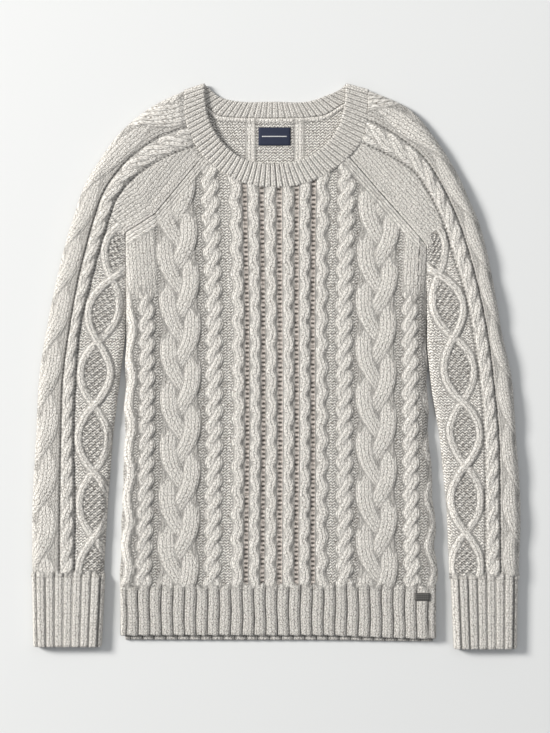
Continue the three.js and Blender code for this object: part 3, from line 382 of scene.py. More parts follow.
def body_top(x, y):
    """Top of the plain body: rolled at the sides and low at the side seams."""
    depth = side_depth(x, y)
    side = side_top(y)
    rim = SIDE_RIM + underarm_lift(y)
    roll = rim + (side - rim) * quarter_round(depth / SIDE_ROLL)
    bulge = side - (side - BODY_TOP) * smoothstep(depth, SIDE_ROLL, SIDE_BULGE)
    return np.where(depth < SIDE_ROLL, roll, bulge)


def body_inside(x, y):
    depth = np.maximum(0, side_depth(x, y) - BODY_WALL)
    radius = SIDE_ROLL - BODY_WALL
    side = side_top(y) - BODY_WALL
    roll = SIDE_RIM + (side - SIDE_RIM) * quarter_round(depth / radius)
    return np.where(depth < radius, roll, body_top(x, y) - BODY_WALL)


def front_raglan(x):
    return np.where(x < 0, polyline_y(RAGLAN_LEFT, x), polyline_y(RAGLAN_RIGHT, x))


def front_edge(x):
    neck = np.where(np.abs(x) < 96, np.interp(x, front_neck[:, 0], front_neck[:, 1]), FAR)
    return np.minimum(front_raglan(x), neck + NECK_TUCK)


def back_edge(x):
    raglan = np.where(x < 0, polyline_y(BACK_RAGLAN_LEFT, x), polyline_y(BACK_RAGLAN_RIGHT, x))
    neck = np.where(np.abs(x) < 105, np.interp(x, back_seam[:, 0], back_seam[:, 1]), FAR)
    return np.minimum(raglan, neck)


# Relief and stitches

class Surface:
    """Relief over a plain surface: height, stitch coordinates, kind of stitch and painted shade, which
    darkens the yarn in creases, grooves and gaps.
    """

    def __init__(self, across, along):
        self.height = np.full(across.shape, GROUND)
        self.across = across.copy()
        self.along = along.copy()
        self.kind = np.full(across.shape, float(PURL))
        self.shade = np.full(across.shape, PURL_SHADE)

    def lay(self, where, **parts):
        """Put in the given heights, places, kinds or painted shades where the mask says so."""
        for part, value in parts.items():
            setattr(self, part, np.where(where, value, getattr(self, part)))

    def keep_relief(self, share, ground=GROUND):
        self.height = ground + (self.height - ground) * share

    def turn_to_ribs(self, ribs, share):
        """Let the ribs of the next piece begin here, as far as share goes from 0 to 1."""
        self.height = mix(self.height, ribs.height, share)
        self.shade = mix(self.shade, ribs.shade, share)
        self.lay(share > 0.5, kind=ribs.kind, across=ribs.across, along=ribs.along)

    def add_cable(self, across, along, cable, inside=True, shift=0):
        """Strands that sway from side to side and cross, on plain knit if the cable has a filling."""
        if "filling" in cable:
            filled = np.abs(across) < cable.get("reach", cable["sway"] + cable["half"] * 0.6)
            ground = np.maximum(self.height, cable["filling"])
            # The filling takes the cable's ground as painted shade between and under the strands
            self.lay(filled & inside, height=ground, across=across, kind=KNIT, shade=cable["ground"])
        crease = cable.get("crease", PLAIN_CREASE)
        plaited = cable["strands"] == 3
        for strand in range(cable["strands"]):
            turn = 2 * math.pi * (along / cable["period"] + strand / cable["strands"])
            sine = np.sin(turn)
            middle = cable["sway"] * (1.25 * sine - 0.25 * sine**3 if plaited else sine)
            slope = cable["sway"] * np.cos(turn) * 2 * math.pi / cable["period"]
            lean = 1 / np.sqrt(1 + slope * slope)
            lift = cable["weave"] * (np.sin(2 * turn) if plaited else np.cos(turn))
            reach = 1 - np.abs((across - middle) / cable["half"]) ** 2.6
            dome = np.where((reach > 0) & inside, lift + cable["round"] * np.sqrt(np.maximum(reach, 0)), -1)
            yarn = along + shift + strand * STRAND_SHIFT
            # Each strand is painted darker towards its edges, down to its crease value, as painted shade
            # where it dips beside its neighbours
            self.lay(
                dome > self.height, height=dome, kind=KNIT,
                across=(across - middle) * lean, along=yarn + (across - middle) * slope * lean,
                shade=cable.get("painted_strand_shade", 1) * (crease + (1 - crease) * smoothstep(reach, 0.0, 0.36)),
            )

    def add_diamonds(self, across, along, inside):
        """Two thin ropes that part and cross again, with moss stitch between them."""
        wave = np.sin(math.pi * along / DIAMOND["period"])
        reach_out = DIAMOND["width"] / 2 - DIAMOND["half"]
        middle = reach_out * np.sign(wave) * np.abs(wave) ** 0.9
        bumps = np.sin(math.pi * across / MOSS_CELL) * np.sin(math.pi * along / MOSS_CELL)
        ground = np.maximum(self.height, DIAMOND["filling"])
        filled = (np.abs(across) < np.abs(middle)) & inside
        # Moss stitch with painted shade in the hollows between its bumps
        self.lay(filled, height=ground + 0.9 * bumps, kind=MOSS, shade=0.86 + 0.28 * bumps)
        slope = reach_out * np.cos(math.pi * along / DIAMOND["period"]) * math.pi / DIAMOND["period"]
        lean = 1 / np.sqrt(1 + slope * slope)
        for side, _ in SIDES:
            offset = (across - side * middle) * lean
            reach = 1 - (offset / DIAMOND["half"]) ** 2
            lift = 0.45 * side * smoothstep(np.abs(slope), 0.2, 0.6)
            dome = np.where((reach > 0) & inside, lift + DIAMOND["round"] * np.sqrt(np.maximum(reach, 0)), -1)
            # Painted shade towards the edges of each strand
            light = 0.62 + 0.38 * smoothstep(reach, 0.0, 0.4)
            self.lay(dome > self.height, height=dome, across=offset, along=along, kind=KNIT, shade=light)

    def carve(self, away, groove, along):
        """A groove beside the rope of a sleeve, with painted shade in it that is darker at every stitch."""
        depth = np.maximum(0, 1 - away / groove["half"])
        stitches = 0.5 + 0.5 * np.cos(2 * math.pi * along / groove["stitch"])
        self.height = mix(self.height, -groove["depth"], depth)
        self.shade = self.shade * (1 - groove["dark"] * depth * stitches)


def raglan_knit(away, y):
    """Ridges along a raglan seam, from 0 to 1, and their painted shade, with painted dark lines between the
    ridges in the upper part.
    """
    ridges = np.abs(np.sin(math.pi * away / RAGLAN_RIDGE))
    return ridges, 1 - RAGLAN_DARK * (1 - ridges**0.7) * smoothstep(y, *RAGLAN_LINES)


def rib_profile(place, pitch, flatness):
    """0 in the grooves and 1 on the crests of ribs, and the place across each rib."""
    fraction = np.mod(place / pitch, 1)
    return np.maximum(0, 1 - np.abs(2 * fraction - 1) ** flatness), (fraction - 0.5) * pitch


def rib_surface(place, along, rib):
    """Ribs that start at rib["first"]; place runs across them."""
    surface = Surface(place, along)
    counted = place + rib["first"]
    swayed = counted + rib["sway"] * np.sin(along / 9 + counted / 23)
    profile, surface.across = rib_profile(swayed, rib["pitch"], rib["flatness"])
    surface.height = rib["relief"] * np.sqrt(profile)
    surface.kind = np.where(profile > 0.25, KNIT, PURL).astype(float)
    surface.along = along + np.floor(swayed / rib["pitch"]) * RIB_SHIFT
    # Painted shade in the grooves, lighter on the crests
    surface.shade = rib["dark"] + (rib["light"] - rib["dark"]) * smoothstep(profile, 0, rib["wall"])
    return surface


def rib_share(place, from_seam):
    """Where the ribs come up through the seam: unevenly, as the cables run into them."""
    start = 2.6 + 2.2 * np.sin(place * 0.31) + 1.1 * np.sin(place * 0.83 + 2)
    return 1 - smoothstep(from_seam - start, 0, 5)


# Walls of cloth

def quads_of(index, flip=False):
    a, b, c, d = index[:-1, :-1], index[1:, :-1], index[1:, 1:], index[:-1, 1:]
    order = (a, d, c, b) if flip else (a, b, c, d)
    return np.stack([part.ravel() for part in order], -1)


def rim_between(row_a, keys_a, row_b, keys_b):
    """Triangles between two rows of points whose keys both run from low to high."""
    triangles = []
    a = b = 0
    while a < len(row_a) - 1 or b < len(row_b) - 1:
        next_a = keys_a[a + 1] if a < len(row_a) - 1 else math.inf
        next_b = keys_b[b + 1] if b < len(row_b) - 1 else math.inf
        if next_a <= next_b:
            triangles.append((row_a[a], row_b[b], row_a[a + 1]))
            a += 1
        else:
            triangles.append((row_a[a], row_b[b], row_b[b + 1]))
            b += 1
    return triangles


def stitch_data(points, surface):
    """Stitch coordinates, kind and painted shade of every point, plain purl where no surface is given."""
    if surface is None:
        level = np.ones(points.shape[:2])
        parts = (points[..., 0], points[..., 1], PURL * level, PLAIN_SHADE * level)
    else:
        parts = (surface.across, surface.along, surface.kind, surface.shade)
    return np.stack(parts, -1).reshape(-1, 4)


def wall(name, material, outer, surface, inner, across, along, ring=False, reverse=False, inner_surface=None):
    """A closed wall: a fine outer side, a coarse inner side and rims of triangles between them.

    across and along hold the keys of the outer and of the inner side, each way. reverse is for points
    that are listed the other way round."""
    sides = []
    start = 0
    for points in (outer, inner):
        index = np.arange(start, start + points[..., 0].size).reshape(points.shape[:2])
        start += index.size
        index = index[::-1] if reverse else index
        sides.append(np.vstack([index, index[:1]]) if ring else index)
    top, under = sides
    rims = rim_between(top[:, 0], across[0], under[:, 0], across[1])
    rims += rim_between(under[:, -1], across[1], top[:, -1], across[0])
    if not ring:
        rims += rim_between(under[0], along[1], top[0], along[0])
        rims += rim_between(top[-1], along[0], under[-1], along[1])
    points = (np.vstack([outer.reshape(-1, 3), inner.reshape(-1, 3)]) + OFFSET) * MM
    mesh = bpy.data.meshes.new(name)
    mesh.from_pydata(points, [], [*quads_of(top).tolist(), *quads_of(under, flip=True).tolist(), *rims])
    data = np.vstack([stitch_data(outer, surface), stitch_data(inner, inner_surface)]).astype(np.float32)
    mesh.attributes.new("stitch", "FLOAT_VECTOR", "POINT").data.foreach_set("vector", data[:, :3].ravel())
    mesh.attributes.new("shade", "FLOAT", "POINT").data.foreach_set("value", data[:, 3])
    mesh.validate()
    corners = np.empty(len(mesh.polygons), np.int32)
    mesh.polygons.foreach_get("loop_total", corners)
    # The rims, made of triangles, don't round the light over the edges of the cloth
    mesh.polygons.foreach_set("use_smooth", corners == 4)
    mesh.materials.append(material)
    piece = bpy.data.objects.new(name, mesh)
    bpy.context.scene.collection.objects.link(piece)
    return piece


def grid_normals(points):
    across = np.gradient(points, axis=0)
    along = np.gradient(points, axis=1)
    normal = np.cross(across, along)
    return normal / np.maximum(np.linalg.norm(normal, axis=-1, keepdims=True), 1e-9)


def body_normals(plain, depth):
    """Normals of the plain body, upright away from its rolled sides."""
    upright = smoothstep(depth, 0, SIDE_ROLL)[..., None]
    return mix(grid_normals(plain), np.array([0, 0, 1.0]), upright)


def line_top(x_of, edge, columns):
    """Height at which each column meets the edge, found by going back and forth between the two."""
    y = np.full((columns, 1), 150.0)
    for _ in range(12):
        y = edge(x_of(y))
    return y


# Materials

class Shader:
    """A material with short ways to add and join its nodes."""

    def __init__(self, name):
        self.material = bpy.data.materials.new(name)
        self.material.use_nodes = True
        self.tree = self.material.node_tree
        self.surface = self.tree.nodes["Principled BSDF"]

    def join(self, node, inputs):
        """Link each socket to an output, or set it to a number or colour."""
        for name, value in inputs.items():
            if isinstance(value, bpy.types.NodeSocket):
                self.tree.links.new(value, node.inputs[name])
            else:
                node.inputs[name].default_value = value

    def node(self, kind, inputs=()):
        node = self.tree.nodes.new("ShaderNode" + kind)
        self.join(node, dict(inputs))
        return node

    def attribute(self, name):
        node = self.node("Attribute")
        node.attribute_name = name
        return node.outputs

    def math(self, operation, *values):
        node = self.node("Math")
        node.operation = operation
        self.join(node, dict(enumerate(values)))
        return node.outputs[0]

    def noise(self, place, scale, detail, roughness=0.5):
        inputs = {"Vector": place, "Scale": scale, "Detail": detail, "Roughness": roughness}
        return self.node("TexNoise", inputs).outputs["Fac"]

    def vector(self, *values):
        return self.node("CombineXYZ", enumerate(values)).outputs[0]

    def ramp(self, value, stops):
        """Colours along a value, from pairs of a position and a colour."""
        node = self.node("ValToRGB", {0: value})
        first, *between, last = stops
        for element, (position, colour) in zip(node.color_ramp.elements, (first, last)):
            element.position = position
            element.color = (*colour, 1)
        for position, colour in between:
            node.color_ramp.elements.new(position).color = (*colour, 1)
        return node.outputs["Color"]

    def bump(self, height, strength, reach):
        node = self.node("Bump", {"Strength": strength, "Distance": reach, "Height": height})
        self.join(self.surface, {"Normal": node.outputs["Normal"]})


def plain_relief(m, across, along):
    """Columns of V, low between the columns and a little between the two legs of each; the material paints
    shade where they are low.
    """
    leg = m("MULTIPLY", m("ABSOLUTE", m("SUBTRACT", m("FRACT", across), 0.5)), 2)
    phase = m("FRACT", m("SUBTRACT", along, m("MULTIPLY", leg, 0.75)))
    row = m("POWER", m("SINE", m("MULTIPLY", phase, math.pi)), 0.5)
    between_columns = m("MULTIPLY", m("POWER", leg, 4), 0.85)
    between_legs = m("MULTIPLY", m("POWER", m("SUBTRACT", 1, leg), 6), 0.38)
    column = m("SUBTRACT", m("SUBTRACT", 1, between_columns), between_legs)
    return m("MULTIPLY", column, m("ADD", m("MULTIPLY", row, 0.62), 0.38))


def purl_relief(m, across, along):
    """Rows that zigzag from column to column, low between them, where the material paints shade."""
    zigzag = m("MULTIPLY", m("ABSOLUTE", m("SUBTRACT", m("FRACT", across), 0.5)), 1.2)
    row = m("POWER", m("ABSOLUTE", m("SINE", m("MULTIPLY", m("ADD", along, zigzag), math.pi))), 1.7)
    return m("MULTIPLY", row, m("SUBTRACT", 1, m("MULTIPLY", m("POWER", zigzag, 2), 0.9)))


def ladder_holes(shader, x, y, is_ladder):
    """Painted shade in the gaps between the rungs of a ladder, of uneven strength."""
    m = shader.math
    rung = m("POWER", m("ABSOLUTE", m("SINE", m("MULTIPLY", y, math.pi / LADDERS["rung"]))), 1.5)
    uneven = shader.noise(shader.vector(m("MULTIPLY", x, 0.05), m("MULTIPLY", y, 0.24)), 1.0, 1.0)
    strength = m("MINIMUM", m("MAXIMUM", m("MULTIPLY", m("SUBTRACT", uneven, 0.3), 5), 0.55), 1)
    from_middle = m("ABSOLUTE", m("DIVIDE", x, LADDERS["half"]))
    narrow = m("MAXIMUM", m("SUBTRACT", 1, m("POWER", from_middle, 4)), 0)
    return m("MULTIPLY", m("MULTIPLY", rung, narrow), m("MULTIPLY", strength, is_ladder))


def knit_material(name, seed):
    """Heathered yarn in plain, purl and moss stitch, from the mesh's stitch coordinates, with painted shade
    in the gaps between stitches and from the mesh's painted shade.
    """
    shader = Shader(name)
    m = shader.math
    stitch = shader.attribute("stitch")["Vector"]
    shade = shader.attribute("shade")["Fac"]
    x, y, kind = shader.node("SeparateXYZ", {0: stitch}).outputs
    is_purl = m("GREATER_THAN", kind, 0.5)
    is_ladder = m("GREATER_THAN", kind, 2.5)

    drift = shader.noise(stitch, 0.22, 1.5)
    across = m("ADD", x, m("MULTIPLY", m("SUBTRACT", drift, 0.5), 5))
    along = m("ADD", y, m("MULTIPLY", drift, 3))
    plain = plain_relief(m, m("DIVIDE", across, STITCH["width"]), m("DIVIDE", along, STITCH["height"]))
    purl = purl_relief(m, m("DIVIDE", across, STITCH["purl"]), m("DIVIDE", along, STITCH["purl_height"]))
    bumps = m("MAXIMUM", purl, m("MULTIPLY", is_ladder, 0.62))
    relief = m("ADD", m("MULTIPLY", plain, m("SUBTRACT", 1, is_purl)), m("MULTIPLY", bumps, is_purl))

    fleck_place = shader.vector(
        m("MULTIPLY", x, 0.75), m("MULTIPLY", y, 0.45), m("ADD", m("MULTIPLY", kind, 9.3), seed)
    )
    flecks = shader.noise(fleck_place, 1.0, 3.0, 0.75)
    yarn = shader.ramp(flecks, [(0.37, FLECK), (0.465, OATMEAL), (0.60, CREAM)])
    # Painted shade in the gaps between stitches: darker where the stitch relief is low, times the mesh's
    # painted shade
    depth_shade = m("MULTIPLY", m("ADD", m("MULTIPLY", relief, 0.84), 0.27), shade)
    hole = ladder_holes(shader, x, y, is_ladder)
    value = m("MULTIPLY", depth_shade, m("SUBTRACT", 1, m("MULTIPLY", hole, 0.93)))
    # The painted shade in the ladders' holes is a little browner than the other painted shade
    grey = shader.node("CombineColor", {
        channel: m("MULTIPLY", value, m("SUBTRACT", 1, m("MULTIPLY", is_ladder, browner)))
        for channel, browner in enumerate((0, 0.06, 0.085))
    })
    shaded_yarn = shader.node("Mix")
    shaded_yarn.data_type = "RGBA"
    shaded_yarn.blend_type = "MULTIPLY"
    shader.join(shaded_yarn, {"Factor": 1.0, "A": yarn, "B": grey.outputs[0]})
    fuzz = shader.noise(stitch, 2.2, 2.0)
    shader.bump(m("ADD", relief, m("MULTIPLY", fuzz, 0.55)), 0.75, 0.0011)
    shader.join(shader.surface, {
        "Base Color": shaded_yarn.outputs["Result"], "Roughness": 0.92, "Specular IOR Level": 0.15,
        "Sheen Weight": 0.15, "Sheen Roughness": 0.5,
    })
    return shader.material


def woven_material(name, thread, gap, scale):
    """A tightly woven ribbon: fine crossing threads."""
    shader = Shader(name)
    place = shader.node("TexCoord").outputs["Object"]
    weave = shader.node("TexWave", {"Vector": place, "Scale": scale, "Distortion": 0.6})
    cross = shader.node("TexWave", {"Vector": place, "Scale": scale})
    cross.bands_direction = "Y"
    both = shader.math("MULTIPLY", weave.outputs["Fac"], cross.outputs["Fac"])
    shader.bump(both, 0.4, 0.0003)
    # The colour follows the weave's height: darker in the gaps between threads as painted shade, and the
    # coarse weave of the tab also gives its lighter stripes
    colour = shader.ramp(both, [(0, gap), (1, thread)])
    shader.join(shader.surface, {"Base Color": colour, "Roughness": 0.6, "Specular IOR Level": 0.25})
    return shader.material


def floor_material():
    shader = Shader("pale_floor")
    shader.join(shader.surface, {"Base Color": (0.66, 0.665, 0.66, 1), "Roughness": 0.85})
    return shader.material


knit_front = knit_material("knit_front", 1.0)
knit_back = knit_material("knit_back", 4.0)
knit_sleeve = knit_material("knit_sleeve", 7.0)
knit_rib = knit_material("knit_rib", 10.0)
label_weave = woven_material("label_weave", (0.033, 0.042, 0.08), (0.013, 0.018, 0.038), 900)
label_thread = woven_material("label_thread", (0.75, 0.75, 0.74), (0.5, 0.5, 0.5), 900)
tab_weave = woven_material("tab_weave", (0.17, 0.165, 0.155), (0.045, 0.043, 0.04), 130)


# Front panel

def front_columns():
    """Columns up the front as kind, side and value: places in the pattern, bands beside it, rolled edges."""
    places = np.linspace(-PATTERN_HALF, PATTERN_HALF, int(2 * PATTERN_HALF / CELL) + 1)
    beside = [("band", share) for share in keys(6)[1:]] + [("roll", share) for share in keys(9)[-2::-1]]
    left = [(kind, -1, share) for kind, share in beside[::-1]]
    right = [(kind, 1, share) for kind, share in beside]
    return left + [("place", 0, place) for place in places] + right


def front_x(columns, y):
    """x of each column at heights y, which has a row for each column."""
    x = np.empty_like(y)
    for i, (kind, side, value) in enumerate(columns):
        middle, spread = body_at(y[i], "middle"), body_at(y[i], "spread")
        start = middle + side * PATTERN_HALF * spread
        edge = body_at(y[i], "left" if side < 0 else "right")
        if kind == "place":
            x[i] = middle + value * spread
        elif kind == "band":
            x[i] = start + (edge - side * SIDE_ROLL - start) * value
        else:
            x[i] = edge - side * SIDE_ROLL * (1 - math.cos(value * math.pi / 2))
    return x


def add_underarm_knit(surface, place, y):
    """Towards the underarm the outer ropes give way to plain knit, along an uneven line."""
    uneven = y + 7 * np.sin(place * 0.9) + 5 * np.sin(place * 0.37 + 1)
    plain = smoothstep(uneven, *UNDERARM_KNIT["rise"]) * smoothstep(np.abs(place), *UNDERARM_KNIT["across"])
    surface.height = mix(surface.height, UNDERARM_KNIT["height"], 0.8 * plain)
    surface.shade = mix(surface.shade, UNDERARM_KNIT["shade"], plain)
    # The painted shade is a little darker where the plain knit begins, so that it blends with the purl's
    # painted shade beside it
    edge = 0.88 + 0.12 * smoothstep(plain, 0.5, 1)
    surface.lay(plain > 0.5, shade=surface.shade * edge, kind=KNIT, across=place, along=y)


def add_pits(surface, place, y):
    """Small pits with painted shade on the right of each wave, where it turns."""
    for column in FRONT_COLUMNS:
        if column["cable"] is not WAVE:
            continue
        for side, name in SIDES:
            turned = -np.sin(2 * math.pi * (y - column["start"][name]) / WAVE["period"])
            beside = 1 - ((place - side * column["at"][name] - PIT["at"]) / PIT["half"]) ** 2
            pit = np.maximum(0, beside) * smoothstep(turned, 0.55, 0.95)
            surface.height -= PIT["depth"] * pit
            surface.shade *= 1 - PIT["dark"] * pit


def add_ladders(surface, place, y):
    for ladder in LADDERS["places"]:
        offset = np.abs(place - ladder) / LADDERS["half"]
        surface.lay(
            offset < 1, height=GROUND - LADDERS["depth"] * (1 - offset**2), kind=LADDER,
            across=place - ladder, along=y + ladder * LADDERS["shift"], shade=LADDERS["shade"],
        )


def front_surface(place, x, y):
    surface = Surface(place, y)
    for start, dark in CHANNELS:
        surface.lay(np.abs(place) > start, shade=dark)
    for number, column in enumerate(FRONT_COLUMNS):
        for side, name in SIDES:
            across = place - side * column["at"][name]
            shift = (2 * number + side) * COLUMN_SHIFT
            near = np.abs(across) < COLUMN_REACH
            surface.add_cable(across, y - column["start"][name], column["cable"], near, shift)
    add_underarm_knit(surface, place, y)
    add_pits(surface, place, y)
    add_ladders(surface, place, y)
    raglan = (front_raglan(x) - y) * RAGLAN_SQUARE
    band = 1 - smoothstep(raglan, RAGLAN_BAND - 1.5, RAGLAN_BAND + 1.5)
    ridges, light = raglan_knit(raglan, y)
    surface.height = mix(surface.height, 1.5 + 0.5 * ridges, band)
    surface.lay(band > 0.5, across=raglan * 1.2, kind=KNIT, shade=light)
    ribs = rib_surface(x, y, HEM_RIB)
    ribs.height *= smoothstep(side_depth(x, y), 0, 2)
    surface.turn_to_ribs(ribs, rib_share(x, y - HEM_SEAM_Y))
    # Painted shade just below the front's top edge, where it meets the sleeves and tucks under the neckband
    surface.shade *= 0.9 + 0.1 * smoothstep(front_edge(x) - y, 1, 3)
    return surface


def front_panel():
    columns = front_columns()
    t = keys(FRONT_ROWS)
    y = HEM_SEAM_Y + (line_top(lambda y: front_x(columns, y), front_edge, len(columns)) - HEM_SEAM_Y) * t
    x = front_x(columns, y)
    surface = front_surface((x - body_at(y, "middle")) / body_at(y, "spread"), x, y)
    depth = side_depth(x, y)
    # Beside the sleeves the side keeps close to its plain roll
    surface.keep_relief(np.maximum(smoothstep(depth, 1, 9), smoothstep(-y, -20, 60)))
    height = np.where(depth < 0.05, np.minimum(surface.height, GROUND), surface.height)
    plain = xyz(x, y, body_top(x, y))
    points = plain + body_normals(plain, depth) * height[..., None]
    from_seam = y - HEM_SEAM_Y
    points[..., 2] += UNEVEN * soft_noise(x.shape, (60, 90)) * smoothstep(from_seam, 0, 12)
    pushed = side_wave(y) * (1 - smoothstep(depth, 4, 20)) * smoothstep(from_seam, 0, 25)
    points[..., 0] += np.sign(x) * pushed * (1 - smoothstep(y, 20, 60))
    points[[0, -1], :, 2] = SIDE_RIM + underarm_lift(y[0])

    inner_rows = np.linspace(0, FRONT_ROWS - 1, 12).astype(int)
    chosen = [i for i, (kind, _, _) in enumerate(columns) if kind != "roll"][::9]
    left, right = body_at(y[0], "left") + BODY_WALL, body_at(y[-1], "right") - BODY_WALL
    xs = np.vstack([left, x[chosen], right])[:, inner_rows]
    lines = [0, *chosen, -1]
    ys = y[lines][:, inner_rows]
    inner = xyz(xs, ys, body_inside(xs, ys))
    across = (x[:, 0], x[lines, 0])
    return wall("sweater_front", knit_front, points, surface, inner, across, (t, t[inner_rows]))


# Back panel: its inside shows through the neck

def darken_line(surface, nearness, along):
    """A dark line of painted shade in the gaps between stitches, as dark as nearness says, from 0 to 1."""
    surface.shade *= 1 - 0.5 * nearness * (0.6 + 0.4 * np.cos(2 * math.pi * along / BACK_INSIDE["stitch"]))


def back_surface(x, y):
    """Purl with two knit bands between lines of painted shade, and the ridge of the neck seam over a line of
    painted shade.
    """
    surface = Surface(x, y)
    near = np.abs(x) < BACK_INSIDE["half"]
    neck = back_edge(x) - y
    ridge = np.maximum(0, 1 - ((neck - 3) / 2.6) ** 2) * near
    for middle in BACK_INSIDE["bands"]:
        band = np.abs(x - middle) < BACK_INSIDE["band_half"]
        surface.lay(band, kind=KNIT, across=x - middle)
        surface.height += 0.5 * band
        darken_line(surface, np.maximum(0, 1 - np.abs(np.abs(x - middle) - 6) / 1.3), y)
    surface.height = surface.height * 0.5 + 1.3 * ridge * (neck < 6)
    darken_line(surface, np.maximum(0, 1 - np.abs(neck - 6.8) / 1.4) * near, x)
    surface.lay(ridge > 0.1, kind=KNIT)
    return surface


def back_panel():
    across = keys(130)
    rows = np.concatenate([np.linspace(0, 0.82, 40)[:-1], np.linspace(0.82, 1, 90)])
    start = HEM_SEAM_Y + SEAM_GAP

    def x_of(y):
        left, right = body_at(y, "left"), body_at(y, "right")
        return left + (right - left) * across[:, None]

    y = start + (line_top(x_of, back_edge, len(across)) - start) * rows
    x = x_of(y)
    surface = back_surface(x, y)
    shown = smoothstep(y, 215, 235) * (np.abs(x) < BACK_INSIDE["half"])
    top = xyz(x, y, BODY_WALL - 0.15 + surface.height * shown)
    top[[0, -1], :, 2] = BODY_WALL - 0.1
    under = xyz(x, y, np.zeros_like(x))
    return wall("sweater_back", knit_back, top, surface, under, (across, across), (rows, rows),
                inner_surface=Surface(x, y))


# Hem ribs

def hem_edge(hem, x):
    side = np.where(x < 0, hem["left"], hem["right"])
    return hem["middle"] + (side - hem["middle"]) * smoothstep(np.abs(x), 40, 185)


def front_hem():
    top = HEM_SEAM_Y
    left, right = float(body_at(top, "left")), float(body_at(top, "right"))
    roll = SIDE_ROLL * (1 - np.cos(np.linspace(0, math.pi / 2, 8)[:-1]))
    middle = np.linspace(left + SIDE_ROLL, right - SIDE_ROLL, int((right - left) / HEM_CELL))
    xs = np.concatenate([left + roll, middle, (right - roll)[::-1]])
    fine = np.concatenate([[0, 0.01, 0.025, 0.045], np.linspace(0.07, 1, 40)])
    x = np.repeat(xs[:, None], len(fine), 1)
    bottom = hem_edge(FRONT_HEM, x) + 0.5 * np.sin((x + HEM_RIB["first"]) / HEM_RIB["pitch"] * 2 * math.pi)
    y = bottom + (top - bottom) * fine
    surface = rib_surface(x, y, HEM_RIB)
    plain = xyz(x, y, body_top(x, y))
    depth = side_depth(x, y)
    points = plain + body_normals(plain, depth) * (surface.height * smoothstep(depth, 0, 2))[..., None]
    from_bottom = 1 - np.clip((y - bottom) / 2.6, 0, 1)
    points[..., 2] -= 2.2 * (1 - np.sqrt(1 - from_bottom**2 * 0.98))
    points[[0, -1], :, 2] = SIDE_RIM
    points[..., 2] = np.maximum(points[..., 2], SIDE_RIM)

    inside = np.concatenate([[left + BODY_WALL], np.linspace(left + 6, right - 6, 30), [right - BODY_WALL]])
    levels = keys(4)
    inner_x = np.repeat(inside[:, None], len(levels), 1)
    inner_bottom = hem_edge(FRONT_HEM, inner_x)
    inner_y = inner_bottom + (top - inner_bottom) * levels
    inner = xyz(inner_x, inner_y, body_inside(inner_x, inner_y))
    across = (xs, np.array([left, *inside[1:-1], right]))
    return wall("sweater_hem_front", knit_rib, points, surface, inner, across, (fine, levels))


def back_hem():
    top = HEM_SEAM_Y - SEAM_GAP
    left, right = float(body_at(top, "left")), float(body_at(top, "right"))
    across = keys(300)
    along = np.concatenate([np.linspace(0, 0.2, 12), np.linspace(0.3, 1, 5)])
    bottom_x = (left + 6 + (right - left - 10) * across)[:, None]
    top_x = (left + (right - left) * across)[:, None]
    bottom_y = hem_edge(BACK_HEM, bottom_x)
    x = bottom_x + (top_x - bottom_x) * along
    y = bottom_y + (top - bottom_y) * along
    surface = rib_surface(x - 0.35 * HEM_RIB["pitch"], y, HEM_RIB)
    shown = 1 - smoothstep(y - hem_edge(FRONT_HEM, x), -2.5, 0.5)
    edge = quarter_round((y - bottom_y) / 2.4)
    z = (BODY_WALL - 0.2) * (0.45 + 0.55 * edge) + surface.height * 0.7 * shown * edge
    chosen = np.linspace(0, len(across) - 1, 40).astype(int)
    levels = [0, 8, 13, len(along) - 1]
    picked = np.ix_(chosen, levels)
    under = xyz(x[picked], y[picked], np.zeros_like(x[picked]))
    across_keys = (across, across[chosen])
    along_keys = (along, along[levels])
    return wall("sweater_hem_back", knit_rib, xyz(x, y, z), surface, under, across_keys, along_keys)


# Sleeves

